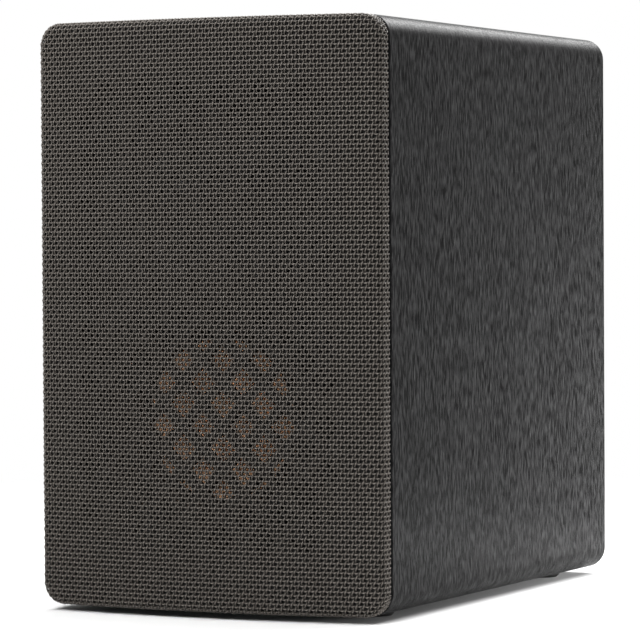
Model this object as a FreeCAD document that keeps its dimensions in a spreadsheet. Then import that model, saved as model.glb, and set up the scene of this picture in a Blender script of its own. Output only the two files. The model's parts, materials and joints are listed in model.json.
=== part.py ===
"""Compact wireless speaker with a brushed aluminium sleeve and a cloth-covered grille.

Millimetres. +Z is up, the grille faces -Y, and the origin is on the floor under the middle of the box.
Every size is a cell of the sheet, and every place is a rule written in the names of those cells.
"""
import FreeCAD, Part
import os
import re
import Sketcher

# Driving sizes: name, value, what it sets
SIZES = [
    ("cabinet_width", 117.0, "outside width of the sleeve"),
    ("cabinet_height", 180.0, "outside height of the sleeve"),
    ("cabinet_depth", 185.4, "from the middle of the cloth's front to the sleeve's rear end"),
    ("corner_radius", 7.0, "outside corners of the sleeve"),
    ("wall", 2.5, "wall of the sleeve"),
    ("edge_break", 0.3, "chamfer on the sleeve's cut ends"),
    ("fit_gap", 0.2, "clearance round a piece let into another"),
    ("press_gap", 0.05, "clearance round a pressed or screwed-in piece"),
    ("channel_radius", 4.0, "screw channels in the sleeve's inner corners"),
    ("channel_bite", 0.3, "how far a channel's round sinks into the walls"),
    ("foot_height", 2.0, "how far the feet lift the sleeve"),
    ("foot_radius", 6.5, "rubber feet"),
    ("foot_sink", 0.6, "depth of the round seats under the sleeve"),
    ("foot_chamfer", 0.7, "lower edge of a foot"),
    ("foot_inset_side", 16.0, "foot's middle from the sleeve's side"),
    ("foot_inset_end", 20.0, "foot's middle from the sleeve's end"),
    ("grille_bow", 5.4, "how far the middle of the cloth's front stands out before its sides"),
    ("grille_depth", 6.0, "from the sides of the cloth's front to its hem"),
    ("grille_inset", 0.3, "cloth's sides from the sleeve's sides"),
    ("grille_edge_radius", 2.6, "round of the cloth at the front edges"),
    ("cloth_thickness", 0.8, "woven cloth"),
    ("cloth_gap", 0.1, "between cloth and frame"),
    ("hem_width", 4.0, "cloth folded behind the frame"),
    ("weft_pitch", 1.43, "ridges of the weave, from yarn to yarn"),
    ("weft_groove", 0.35, "depth of the grooves between the ridges"),
    ("seam_gap", 0.6, "shadow gap between the cloth and the sleeve"),
    ("lattice_thickness", 3.0, "front web of the grille frame"),
    ("lattice_pitch_across", 13.4, "diamonds side by side"),
    ("lattice_pitch_up", 13.4, "diamonds one above the other"),
    ("diamond_width", 9.8, "opening of a diamond"),
    ("diamond_height", 9.8, "opening of a diamond"),
    ("frame_rim", 10.5, "full-depth rim of the grille frame"),
    ("peg_radius", 2.0, "pegs behind the grille frame"),
    ("peg_length", 7.0, "pegs behind the grille frame"),
    ("peg_root", 1.5, "radius of a peg's end in the frame"),
    ("peg_root_depth", 2.8, "how far a peg goes into the frame"),
    ("peg_inset_side", 8.2, "peg from the sleeve's side"),
    ("peg_inset_end", 14.0, "peg from the sleeve's top or base"),
    ("cup_wall", 1.1, "rubber of the grille cups"),
    ("cup_flange", 0.4, "how far a cup's flange stands out past its stem"),
    ("baffle_recess", 1.0, "baffle's face behind the sleeve's front end"),
    ("baffle_thickness", 5.0, "plate of the baffle"),
    ("seat_depth", 7.0, "driver seats behind the baffle's plate"),
    ("seat_wall", 3.0, "driver seats, outside the driver's rim"),
    ("seal_width", 1.4, "foam rubber seals"),
    ("seal_thickness", 2.0, "foam rubber seals"),
    ("cabinet_screw_radius", 1.5, "screws into the sleeve"),
    ("cabinet_screw_length", 15.0, "screws into the sleeve"),
    ("cabinet_screw_head", 2.8, "head radius"),
    ("cabinet_head_height", 2.0, "head height"),
    ("head_sink", 2.4, "depth of the head's counterbore"),
    ("head_round", 0.5, "bevel of a screw's head"),
    ("woofer_height", -32.0, "woofer's middle above the middle"),
    ("woofer_flange_radius", 45.0, "rim of the basket"),
    ("woofer_sink", 2.0, "basket's rim behind the baffle's face"),
    ("basket_sheet", 2.0, "rim and floor of the basket"),
    ("basket_depth", 22.0, "from the rim's front to the floor's back"),
    ("basket_throat", 34.3, "inside of the basket's rim"),
    ("basket_waist", 26.5, "inside of the basket's floor"),
    ("basket_wall", 1.7, "sloping wall of the basket"),
    ("basket_bore", 12.0, "hole in the basket's floor"),
    ("basket_window_angle", 32.0, "half the angle of a window in the basket"),
    ("basket_windows", 4, "windows in the basket's wall"),
    ("basket_hem", 0.8, "wall left above and below a window"),
    ("driver_gasket", 1.0, "foam under the basket's rim"),
    ("driver_screw_radius", 1.5, "woofer screws"),
    ("driver_screw_head", 2.5, "head radius"),
    ("driver_head_height", 1.5, "head height"),
    ("driver_screw_length", 9.0, "woofer screws"),
    ("driver_screw_circle", 41.8, "radius of the circle of woofer screws"),
    ("trim_thickness", 1.0, "foam ring over the surround's lip"),
    ("surround_lip_radius", 38.9, "outer edge of the surround"),
    ("surround_roll", 3.5, "radius of the half roll"),
    ("surround_sheet", 0.6, "rubber of the surround"),
    ("cone_radius", 27.0, "outer edge of the cone"),
    ("cone_lip", 2.2, "flat rim of the cone"),
    ("cone_sheet", 0.6, "cone's paper"),
    ("cone_depth", 11.6, "cone from rim to neck"),
    ("neck_length", 2.0, "collar glued to the coil former"),
    ("cap_radius", 12.0, "dust cap"),
    ("cap_height", 4.2, "dust cap"),
    ("cap_sheet", 0.5, "dust cap"),
    ("coil_radius", 9.4, "inside of the coil former"),
    ("former_sheet", 0.2, "coil former"),
    ("former_length", 20.0, "coil former"),
    ("winding_thickness", 0.7, "wire on the former"),
    ("winding_length", 8.0, "wire on the former"),
    ("coil_clearance", 0.45, "coil in the magnet's gap, each side"),
    ("spider_radius", 24.6, "outer edge of the spider"),
    ("spider_lip", 2.6, "glued edge of the spider"),
    ("spider_sheet", 0.5, "spider's cloth"),
    ("spider_wave", 0.8, "height of the spider's waves, each way"),
    ("spider_slopes", 8, "rises and falls of the spider's waves"),
    ("spider_ledge", 4.0, "ring in the basket that carries the spider"),
    ("woofer_plate_radius", 27.0, "top plate"),
    ("woofer_plate_thickness", 4.0, "top plate"),
    ("woofer_magnet_radius", 33.0, "ring magnet"),
    ("woofer_magnet_bore", 17.0, "ring magnet"),
    ("woofer_magnet_thickness", 10.0, "ring magnet"),
    ("woofer_yoke_thickness", 4.0, "yoke's plate"),
    ("woofer_vent", 3.0, "hole through the pole"),
    ("terminal_width", 22.0, "tag strips"),
    ("terminal_length", 10.5, "tag strips"),
    ("terminal_sheet", 1.4, "tag strips"),
    ("tweeter_height", 47.0, "tweeter's middle above the middle"),
    ("faceplate_radius", 29.0, "tweeter's faceplate"),
    ("faceplate_thickness", 3.0, "tweeter's faceplate"),
    ("faceplate_throat", 15.8, "hole in the faceplate"),
    ("faceplate_flare", 6.5, "width of the flare round the hole"),
    ("throat_land", 0.6, "straight edge of the faceplate's hole"),
    ("dome_radius", 12.5, "silk dome"),
    ("dome_height", 2.6, "silk dome"),
    ("dome_sheet", 0.3, "silk"),
    ("dome_roll", 1.5, "radius of the dome's roll"),
    ("dome_lip", 2.1, "glued edge of the dome"),
    ("tweeter_coil_thickness", 0.4, "tweeter's winding"),
    ("tweeter_coil_length", 5.0, "tweeter's winding"),
    ("tweeter_gap", 0.5, "tweeter's coil in the magnet's gap, each side"),
    ("tweeter_motor_radius", 20.0, "tweeter's plates and magnet"),
    ("tweeter_cutout", 21.0, "hole in the baffle"),
    ("tweeter_plate_thickness", 3.0, "tweeter's top plate"),
    ("tweeter_magnet_bore", 15.0, "tweeter's magnet"),
    ("tweeter_magnet_thickness", 6.0, "tweeter's magnet"),
    ("tweeter_yoke_thickness", 3.0, "tweeter's yoke"),
    ("tweeter_screw_radius", 1.2, "tweeter's screws"),
    ("tweeter_screw_head", 2.0, "head radius"),
    ("tweeter_head_height", 1.2, "head height"),
    ("tweeter_screw_length", 7.0, "tweeter's screws"),
    ("tweeter_screw_circle", 26.0, "radius of the circle of tweeter screws"),
    ("panel_recess", 1.6, "rear panel's face inside the sleeve's end"),
    ("panel_thickness", 4.0, "rear panel"),
    ("panel_screw_sink", 2.2, "counterbore in the rear panel"),
    ("port_height", 53.0, "port's middle above the middle"),
    ("port_radius", 14.5, "bore of the port"),
    ("port_wall", 2.0, "tube of the port"),
    ("port_length", 80.0, "tube of the port"),
    ("port_flare", 6.0, "rounding of the port's mouth"),
    ("port_collar", 3.0, "thickness behind the mouth's rounding"),
    ("port_collar_depth", 6.0, "collar inside the panel"),
    ("port_flange_radius", 23.0, "port's flange"),
    ("port_flange_thickness", 1.5, "port's flange"),
    ("board_standoff", 12.0, "boards from the rear panel"),
    ("board_thickness", 1.6, "circuit boards"),
    ("board_width", 92.0, "circuit boards"),
    ("board_corner", 2.0, "circuit boards"),
    ("board_screw_inset", 4.0, "board screws from the board's edges"),
    ("standoff_radius", 3.0, "bosses on the rear panel"),
    ("board_screw_radius", 1.2, "board screws"),
    ("board_screw_head", 2.4, "head radius"),
    ("board_head_height", 1.4, "head height"),
    ("board_screw_length", 8.0, "board screws"),
    ("main_board_bottom", -32.0, "above the middle"),
    ("main_board_height", 60.0, "main board"),
    ("power_board_bottom", -77.0, "above the middle"),
    ("power_board_height", 40.0, "power board"),
    ("button_row", 18.0, "buttons above the middle"),
    ("button_pitch", 20.0, "from button to button"),
    ("button_radius", 4.2, "button caps"),
    ("button_gap", 0.3, "clearance round a button"),
    ("button_proud", 0.9, "cap above the panel"),
    ("button_bevel", 0.4, "edge of the cap"),
    ("button_flange", 1.4, "inner collar past the cap"),
    ("button_collar", 1.2, "thickness of the inner collar"),
    ("button_stem", 1.5, "stem radius"),
    ("button_reach", 1.0, "free way between a stem and its switch"),
    ("mark_length", 3.6, "signs sunk in the caps"),
    ("mark_width", 0.7, "signs sunk in the caps"),
    ("mark_depth", 0.3, "signs sunk in the caps"),
    ("switch_side", 6.0, "push switches"),
    ("switch_body", 3.5, "push switches"),
    ("plunger_radius", 1.7, "push switches"),
    ("plunger_height", 1.0, "push switches"),
    ("led_side", 3.0, "status light"),
    ("led_height", 1.5, "status light"),
    ("pipe_radius", 1.3, "light pipe"),
    ("pipe_proud", 0.4, "light pipe above the panel"),
    ("pipe_gap", 0.3, "light pipe from the status light"),
    ("socket_row", -12.0, "sockets above the middle"),
    ("network_offset", 20.0, "network socket left of the middle"),
    ("network_width", 16.0, "network socket"),
    ("network_height", 13.5, "network socket"),
    ("network_plug_width", 12.0, "opening for the plug"),
    ("network_plug_height", 7.4, "opening for the plug"),
    ("network_latch_width", 6.2, "opening for the plug's latch"),
    ("network_latch_height", 2.6, "opening for the plug's latch"),
    ("network_plug_depth", 13.0, "opening for the plug"),
    ("aux_offset", 16.0, "audio jack right of the middle"),
    ("aux_width", 11.0, "audio jack"),
    ("aux_height", 9.0, "audio jack"),
    ("aux_nose_radius", 3.5, "audio jack"),
    ("aux_bore_radius", 1.8, "audio jack"),
    ("aux_bore_depth", 14.0, "audio jack"),
    ("inlet_row", -59.0, "mains inlet above the middle"),
    ("inlet_offset", 18.0, "mains inlet right of the middle"),
    ("inlet_width", 23.0, "mains inlet"),
    ("inlet_height", 14.0, "mains inlet"),
    ("inlet_flange", 2.0, "inlet's rim past its body"),
    ("inlet_rim", 1.2, "inlet's rim on the panel"),
    ("inlet_mouth_width", 17.6, "opening for the plug"),
    ("inlet_mouth_height", 9.4, "opening for the plug"),
    ("inlet_mouth_corner", 4.2, "opening for the plug"),
    ("inlet_mouth_depth", 13.0, "opening for the plug"),
    ("pin_radius", 1.15, "mains pins"),
    ("pin_pitch", 8.6, "from pin to pin"),
    ("pin_length", 9.0, "mains pins above the inlet's floor"),
    ("module_width", 24.0, "wireless module"),
    ("module_height", 18.0, "wireless module"),
    ("module_thickness", 3.2, "wireless module"),
    ("module_offset", 26.0, "wireless module right of the middle"),
    ("module_row", 8.0, "wireless module above the middle"),
    ("module_edge", 0.8, "rounding of the module's can"),
    ("chip_side", 10.0, "amplifier chip"),
    ("chip_thickness", 1.5, "amplifier chip"),
    ("amplifier_row", -6.0, "amplifier above the middle"),
    ("amplifier_offset", 18.0, "amplifier left of the middle"),
    ("heatsink_width", 42.0, "heatsink"),
    ("heatsink_height", 32.0, "heatsink"),
    ("heatsink_base", 3.0, "heatsink"),
    ("fin_depth", 14.0, "heatsink fins"),
    ("fin_sheet", 1.6, "heatsink fins"),
    ("fin_pitch", 5.0, "heatsink fins"),
    ("transformer_offset", 20.0, "transformer left of the middle"),
    ("transformer_width", 28.0, "transformer core"),
    ("transformer_height", 24.0, "transformer core"),
    ("transformer_depth", 20.0, "transformer core"),
    ("bobbin_length", 34.0, "transformer winding, end to end"),
    ("bobbin_inset", 3.0, "winding inside the core's faces"),
    ("bobbin_side", 16.0, "transformer winding, across"),
    ("capacitor_offset", 12.0, "first capacitor right of the middle"),
    ("capacitor_pitch", 15.0, "from capacitor to capacitor"),
    ("capacitor_radius", 6.3, "reservoir capacitors"),
    ("capacitor_length", 25.0, "reservoir capacitors"),
    ("capacitor_edge", 1.0, "rolled edges of a capacitor's can"),
    ("header_side", 8.0, "plug sockets of the driver leads"),
    ("header_height", 6.0, "plug sockets of the driver leads"),
    ("header_pitch", 10.5, "from socket to socket"),
    ("lead_offset", 8.5, "driver leads right of the middle"),
    ("lead_radius", 1.5, "driver leads"),
    ("lead_bend", 40.0, "bends of the sagging woofer lead"),
    ("lead_slope", 30.0, "steepest angle of the woofer lead"),
    ("lead_drop", 60.0, "steepest angle of the tweeter lead"),
    ("lead_run", 20.0, "straight start of a lead"),
]

# Places, written in the names of the sizes
FRONT = "(-cabinet_depth / 2)"
BACK = "(cabinet_depth / 2)"
HEM = f"({FRONT} + grille_bow + grille_depth)"
SLEEVE_FRONT = f"({HEM} + seam_gap)"
BAFFLE_FRONT = f"({SLEEVE_FRONT} + baffle_recess)"
BAFFLE_BACK = f"({BAFFLE_FRONT} + baffle_thickness)"
CHANNEL_FRONT = f"({BAFFLE_BACK} + seal_thickness)"
PANEL_BACK = f"({BACK} - panel_recess)"
PANEL_FRONT = f"({PANEL_BACK} - panel_thickness)"
CHANNEL_BACK = f"({PANEL_FRONT} - seal_thickness)"
BOARD_BACK = f"({PANEL_FRONT} - board_standoff)"
BOARD_FRONT = f"({BOARD_BACK} - board_thickness)"
FRAME_BACK = f"({HEM} - cloth_thickness)"
BOW_RADIUS = "(((cabinet_width / 2 - grille_inset)^2 + grille_bow^2) / (2 * grille_bow))"
BOW_CENTRE = f"({FRONT} + {BOW_RADIUS})"
BASE = "foot_height"
MIDDLE = "(foot_height + cabinet_height / 2)"
WOOFER = f"({MIDDLE} + woofer_height)"
TWEETER = f"({MIDDLE} + tweeter_height)"
INSIDE_WIDTH = "(cabinet_width - 2 * wall)"
INSIDE_HEIGHT = "(cabinet_height - 2 * wall)"
INSIDE_RADIUS = "(corner_radius - wall)"
CHANNEL_INSET = "(wall + channel_radius - channel_bite)"
CHANNEL_ACROSS = f"(cabinet_width / 2 - {CHANNEL_INSET})"
CHANNEL_UP = f"(cabinet_height / 2 - {CHANNEL_INSET})"
TOLERANCE = 1e-4

os.makedirs("parts", exist_ok=True)
doc = FreeCAD.newDocument("WirelessSpeaker")
sheet = doc.addObject("Spreadsheet::Sheet", "Sizes")
for row, (name, size, note) in enumerate(SIZES, start=1):
    sheet.set(f"A{row}", name)
    sheet.set(f"B{row}", str(size))
    sheet.setAlias(f"B{row}", name)
    sheet.set(f"C{row}", note)
doc.recompute()
NAMES = {name for name, _, _ in SIZES}
subparts = []


def bound(rule):
    """A rule in the names of the sizes, as an expression on the sheet's cells."""
    return re.sub(r"[a-z]\w*", lambda word: f"Sizes.{word[0]}" if word[0] in NAMES else word[0], rule)


def value(rule):
    """The number that a rule gives, for the first drawing of a sketch."""
    return float(sheet.evalExpression(rule))


def place(thing, across="0", depth="0", up="0"):
    """Tie the position of a body or a primitive to three rules."""
    for axis, rule in zip("xyz", (across, depth, up)):
        thing.setExpression(f"Placement.Base.{axis}", bound(rule))


def new_body(label):
    """An empty body with a name of its own."""
    made = doc.addObject("PartDesign::Body", label)
    made.Label = label
    return made


def keep(thing):
    """Count an object among the finished sub-parts."""
    subparts.append(thing)
    return thing


def new_sketch(body, plane, level="0"):
    """A sketch on one of the body's own planes, moved along the plane's normal by a rule."""
    sketch = body.newObject("Sketcher::SketchObject", "Outline")
    sketch.AttachmentSupport = [(next(f for f in body.Origin.OriginFeatures if f.Role == plane), "")]
    sketch.MapMode = "FlatFace"
    sketch.setExpression("AttachmentOffset.Base.z", bound(level))
    return sketch


def facing(body, depth):
    """A sketch seen from the front, across = X and up = Z, at the given depth."""
    return new_sketch(body, "XZ_Plane", f"-({depth})")


def tie(sketch, kind, geometry, point, rule):
    """Hold a point of the sketch at a distance from its origin, by rule."""
    index = sketch.addConstraint(Sketcher.Constraint(kind, -1, 1, geometry, point, value(rule)))
    sketch.setExpression(f"Constraints[{index}]", bound(rule))


def arc_centre(start, end, axis, level):
    """Middle of the circle through two points, given one of its own coordinates."""
    middle = (start + end) * 0.5
    run = end - start
    if axis == "across":
        return FreeCAD.Vector(level, middle.y - (level - middle.x) * run.x / run.y, 0)
    return FreeCAD.Vector(middle.x - (level - middle.y) * run.y / run.x, level, 0)


def outline(sketch, corners, closed=True):
    """Outline through corners, each a pair of rules for across and up.

    A third item (axis, rule, turn) makes the stretch to the next corner an arc: its middle lies at
    that rule on that axis, and it turns left (1) or right (-1).
    """
    points = [FreeCAD.Vector(value(corner[0]), value(corner[1]), 0) for corner in corners]
    first = sketch.GeometryCount
    count = len(corners)
    stretches = count if closed else count - 1
    ends = []
    for i, corner in enumerate(corners[:stretches]):
        start, end = points[i], points[(i + 1) % count]
        if len(corner) == 2:
            sketch.addGeometry(Part.LineSegment(start, end), False)
            ends.append((1, 2))
            continue
        axis, rule, turn = corner[2]
        centre = arc_centre(start, end, axis, value(rule))
        ring = Part.Circle(centre, FreeCAD.Vector(0, 0, 1), (start - centre).Length)
        low, high = (start, end) if turn > 0 else (end, start)
        sketch.addGeometry(Part.ArcOfCircle(ring, ring.parameter(low), ring.parameter(high)), False)
        ends.append((1, 2) if turn > 0 else (2, 1))
    for i in range(count if closed else stretches - 1):
        after = (i + 1) % count
        joined = (first + i, ends[i][1], first + after, ends[after][0])
        sketch.addConstraint(Sketcher.Constraint("Coincident", *joined))
    for i, corner in enumerate(corners):
        stretch, end = (i, ends[i][0]) if i < stretches else (i - 1, ends[i - 1][1])
        tie(sketch, "DistanceX", first + stretch, end, corner[0])
        tie(sketch, "DistanceY", first + stretch, end, corner[1])
        if len(corner) == 3:
            axis, rule, _ = corner[2]
            tie(sketch, "DistanceX" if axis == "across" else "DistanceY", first + i, 3, rule)


def rounded(sketch, width, height, radius, across="0", up="0"):
    """Rectangle with round corners about a middle."""
    left, right = f"{across} - ({width}) / 2", f"{across} + ({width}) / 2"
    low, high = f"{up} - ({height}) / 2", f"{up} + ({height}) / 2"
    near_left, near_right = f"{left} + {radius}", f"{right} - ({radius})"
    near_low, near_high = f"{low} + {radius}", f"{high} - ({radius})"
    outline(sketch, [
        (near_left, low), (near_right, low, ("across", near_right, 1)),
        (right, near_low), (right, near_high, ("across", near_right, 1)),
        (near_right, high), (near_left, high, ("across", near_left, 1)),
        (left, near_high), (left, near_low, ("across", near_left, 1)),
    ])


def rectangle(sketch, width, height, across="0", up="0"):
    """Plain rectangle about a middle."""
    left, right = f"{across} - ({width}) / 2", f"{across} + ({width}) / 2"
    low, high = f"{up} - ({height}) / 2", f"{up} + ({height}) / 2"
    outline(sketch, [(left, low), (right, low), (right, high), (left, high)])


def circle(sketch, radius, across="0", up="0"):
    """Circle about a middle."""
    ring = Part.Circle(FreeCAD.Vector(value(across), value(up), 0), FreeCAD.Vector(0, 0, 1), value(radius))
    index = sketch.addGeometry(ring, False)
    tie(sketch, "DistanceX", index, 3, across)
    tie(sketch, "DistanceY", index, 3, up)
    size = sketch.addConstraint(Sketcher.Constraint("Radius", index, value(radius)))
    sketch.setExpression(f"Constraints[{size}]", bound(radius))


def four(across, up, middle=MIDDLE):
    """The four places at equal distances across and up from a middle height."""
    return [(f"{side} * ({across})", f"{middle} + {level} * ({up})") for side in (-1, 1) for level in (-1, 1)]


def circles(sketch, radius, places):
    """Equal circles at a list of places."""
    for across, up in places:
        circle(sketch, radius, across, up)


def grow(body, sketch, length, reverse=True):
    """Solid from a sketch; from a facing sketch it runs towards the rear."""
    pad = body.newObject("PartDesign::Pad", "Pad")
    pad.Profile = sketch
    pad.Reversed = reverse
    pad.setExpression("Length", bound(length))
    return pad


def sink(body, sketch, length, reverse=False):
    """Hollow from a sketch; from a facing sketch it runs towards the rear."""
    pocket = body.newObject("PartDesign::Pocket", "Pocket")
    pocket.Profile = sketch
    pocket.Reversed = reverse
    pocket.setExpression("Length", bound(length))
    return pocket


def chamfer(body, feature, depth, size):
    """Chamfer on the edges of a feature that lie at one depth."""
    doc.recompute()
    level = value(depth)
    names = [f"Edge{i}" for i, edge in enumerate(feature.Shape.Edges, start=1)
             if all(abs(vertex.Y - level) < TOLERANCE for vertex in edge.Vertexes)]
    made = body.newObject("PartDesign::Chamfer", "Chamfer")
    made.Base = (feature, names)
    made.setExpression("Size", bound(size))
    return made


def turned(label, corners, depth, up, across="0"):
    """Body turned about a front-to-back axis, from corners (radius, depth) measured from a place."""
    body = new_body(label)
    sketch = new_sketch(body, "XY_Plane")
    outline(sketch, corners)
    turn = body.newObject("PartDesign::Revolution", "Turned")
    turn.Profile = sketch
    turn.ReferenceAxis = (sketch, ["V_Axis"])
    turn.Angle = 360
    place(body, across, depth, up)
    return body


def ring(label, inner, outer, near, far, depth, up):
    """Plain ring or tube about a front-to-back axis."""
    return turned(label, [(inner, near), (outer, near), (outer, far), (inner, far)], depth, up)


def mirrored_pair(source, up=None):
    """A solid and its mirror image: left and right, or above and below a height."""
    image = doc.addObject("Part::Mirroring", f"{source.Name}_image")
    image.Source = source
    image.Normal = FreeCAD.Vector(1, 0, 0) if up is None else FreeCAD.Vector(0, 0, 1)
    if up is not None:
        image.setExpression("Base.z", bound(up))
    pair = doc.addObject("Part::Compound", f"{source.Name}_pair")
    pair.Links = [source, image]
    return pair


def named(thing, label):
    """Give a finished sub-part its name."""
    thing.Label = label
    return keep(thing)


def pan_screw(label, shank, head, head_height, length, depth, up, across, towards=1):
    """Pan-head screw whose head sits at a depth, with its shank towards the rear (1) or the front (-1)."""
    return turned(label, [
        ("0", f"{-towards} * {head_height}"), (f"{head} - head_round", f"{-towards} * {head_height}"),
        (head, f"{-towards} * ({head_height} - head_round)"), (head, "0"), (shank, "0"),
        (shank, f"{towards} * ({length})"), ("0", f"{towards} * ({length})"),
    ], depth, up, across)


def cabinet_sleeve():
    """Extruded tube; its screw channels are milled back where the baffle and the rear panel sit."""
    body = new_body("cabinet_sleeve")
    section = facing(body, SLEEVE_FRONT)
    rounded(section, "cabinet_width", "cabinet_height", "corner_radius", up=MIDDLE)
    rounded(section, INSIDE_WIDTH, INSIDE_HEIGHT, INSIDE_RADIUS, up=MIDDLE)
    tube = grow(body, section, f"{BACK} - {SLEEVE_FRONT}")
    broken = chamfer(body, tube, SLEEVE_FRONT, "edge_break")
    chamfer(body, broken, BACK, "edge_break")
    corners = four(CHANNEL_ACROSS, CHANNEL_UP)
    channels = facing(body, CHANNEL_FRONT)
    circles(channels, "channel_radius", corners)
    grow(body, channels, f"{CHANNEL_BACK} - {CHANNEL_FRONT}")
    holes = facing(body, CHANNEL_FRONT)
    circles(holes, "cabinet_screw_radius + press_gap", corners)
    sink(body, holes, f"{CHANNEL_BACK} - {CHANNEL_FRONT}")
    seats = new_sketch(body, "XY_Plane", BASE)
    circles(seats, "foot_radius + press_gap", [(x, y) for _, x, y in foot_places()])
    sink(body, seats, "foot_sink", reverse=True)
    keep(body)


def foot_places():
    """Name, across and depth of each foot's middle."""
    side = "(cabinet_width / 2 - foot_inset_side)"
    ends = {"front": f"{SLEEVE_FRONT} + foot_inset_end", "rear": f"{BACK} - foot_inset_end"}
    sides = {"left": f"-{side}", "right": side}
    return [(f"foot_{end}_{hand}", sides[hand], ends[end]) for end in ends for hand in sides]


def feet():
    """Four rubber feet stuck into round seats under the sleeve."""
    for label, across, depth in foot_places():
        body = new_body(label)
        sketch = new_sketch(body, "XZ_Plane")
        outline(sketch, [
            ("0", "0"), ("foot_radius - foot_chamfer", "0"), ("foot_radius", "foot_chamfer"),
            ("foot_radius", "foot_height + foot_sink"), ("0", "foot_height + foot_sink"),
        ])
        turn = body.newObject("PartDesign::Revolution", "Turned")
        turn.Profile = sketch
        turn.ReferenceAxis = (sketch, ["V_Axis"])
        turn.Angle = 360
        place(body, across, depth)
        keep(body)


def front_baffle():
    """Moulded plate with a round seat for each driver, cut back for the seal, and its screw and cup holes."""
    body = new_body("front_baffle")
    plate = facing(body, BAFFLE_FRONT)
    let_in(plate)
    grow(body, plate, "baffle_thickness")
    drivers = (("woofer_flange_radius", "basket_throat + basket_wall + fit_gap", WOOFER),
               ("faceplate_radius", "tweeter_cutout", TWEETER))
    bosses = facing(body, BAFFLE_BACK)
    for rim, _, up in drivers:
        circle(bosses, f"{rim} + seat_wall", up=up)
    grow(body, bosses, "seat_depth")
    edge = facing(body, BAFFLE_BACK)
    rectangle(edge, "cabinet_width", "cabinet_height", up=MIDDLE)
    inside_seal(edge)
    sink(body, edge, "seat_depth")
    for (rim, _, up), seat in zip(drivers, (WOOFER_SEAT, "faceplate_thickness")):
        recess = facing(body, BAFFLE_FRONT)
        circle(recess, f"{rim} + fit_gap", up=up)
        sink(body, recess, seat)
    through = "baffle_thickness + seat_depth"
    mouths = facing(body, BAFFLE_FRONT)
    for _, mouth, up in drivers:
        circle(mouths, mouth, up=up)
    sink(body, mouths, through)
    pilots = facing(body, BAFFLE_FRONT)
    circles(pilots, "driver_screw_radius + press_gap", WOOFER_SCREWS)
    circles(pilots, "tweeter_screw_radius + press_gap", TWEETER_SCREWS)
    circles(pilots, "cabinet_screw_radius + fit_gap", four(CHANNEL_ACROSS, CHANNEL_UP))
    circles(pilots, "peg_radius + cup_wall + press_gap", four(PEG_ACROSS, PEG_UP))
    sink(body, pilots, through)
    heads = facing(body, BAFFLE_FRONT)
    circles(heads, "cabinet_screw_head + fit_gap", four(CHANNEL_ACROSS, CHANNEL_UP))
    sink(body, heads, "head_sink")
    keep(body)


def let_in(sketch):
    """Outline of a plate let into the sleeve."""
    rounded(sketch, f"{INSIDE_WIDTH} - 2 * fit_gap", f"{INSIDE_HEIGHT} - 2 * fit_gap",
            f"{INSIDE_RADIUS} - fit_gap", up=MIDDLE)


def inside_seal(sketch):
    """Inner outline of a seal along the edge of such a plate."""
    edge = "(fit_gap + seal_width)"
    rounded(sketch, f"{INSIDE_WIDTH} - 2 * {edge}", f"{INSIDE_HEIGHT} - 2 * {edge}",
            f"{INSIDE_RADIUS} - {edge}", up=MIDDLE)


def seal(label, depth):
    """Foam rubber ring along the edge of a plate, squeezed against the ends of the screw channels."""
    body = new_body(label)
    sketch = facing(body, depth)
    let_in(sketch)
    inside_seal(sketch)
    grow(body, sketch, "seal_thickness")
    screws = facing(body, depth)
    circles(screws, "cabinet_screw_radius + fit_gap", four(CHANNEL_ACROSS, CHANNEL_UP))
    sink(body, screws, "seal_thickness")
    keep(body)


def cabinet_screws(label, depth, towards):
    """Four screws through a plate into the sleeve's channels."""
    screw = pan_screw(f"{label}_one", "cabinet_screw_radius", "cabinet_screw_head", "cabinet_head_height",
                      "cabinet_screw_length", depth, f"{MIDDLE} + {CHANNEL_UP}", CHANNEL_ACROSS, towards)
    named(mirrored_pair(mirrored_pair(screw), MIDDLE), label)


def beside_bow(body, level, offset, half_width, far):
    """A sketch seen from above, from the grille's bow moved in by an offset to a straight line at a depth."""
    edge = f"{BOW_CENTRE} - sqrt(({BOW_RADIUS} - ({offset}))^2 - ({half_width})^2)"
    sketch = new_sketch(body, "XY_Plane", level)
    outline(sketch, [
        (f"-({half_width})", edge, ("up", BOW_CENTRE, 1)), (half_width, edge), (half_width, far),
        (f"-({half_width})", far),
    ])
    return sketch


def wrap(body, offset, back):
    """Rounded box of the grille with its bowed front, moved in from the cloth's outside by a rule."""
    front = f"({FRONT} + {offset})"
    sketch = facing(body, front)
    inset = f"(grille_inset + {offset})"
    rounded(sketch, f"cabinet_width - 2 * {inset}", f"cabinet_height - 2 * {inset}",
            f"corner_radius - {inset}", up=MIDDLE)
    grow(body, sketch, f"{back} - {front}")
    before = beside_bow(body, "0", offset, "cabinet_width / 2", f"{FRONT} - grille_bow")
    bow = sink(body, before, "foot_height + cabinet_height", reverse=True)
    doc.recompute()
    radius = value(f"{BOW_RADIUS} - ({offset})")
    face = next(f"Face{i}" for i, face in enumerate(bow.Shape.Faces, start=1)
                if isinstance(face.Surface, Part.Cylinder) and abs(face.Surface.Radius - radius) < TOLERANCE)
    rim = body.newObject("PartDesign::Fillet", "Fillet")
    rim.Base = (bow, [face])
    rim.setExpression("Radius", bound(f"grille_edge_radius - ({offset})"))


def repeat(body, feature, sketch, *ways):
    """Repeat a feature in one or two ways, each the sketch's axis, a count and a pitch."""
    rows = body.newObject("PartDesign::LinearPattern", "Rows")
    rows.Originals = [feature]
    for suffix, (axis, count, pitch) in zip(("", "2"), ways):
        setattr(rows, f"Direction{suffix}", (sketch, [axis]))
        setattr(rows, f"Occurrences{suffix}", count)
        rows.setExpression(f"Length{suffix}", bound(f"{count - 1} * {pitch}"))
    body.Tip = rows


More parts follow.
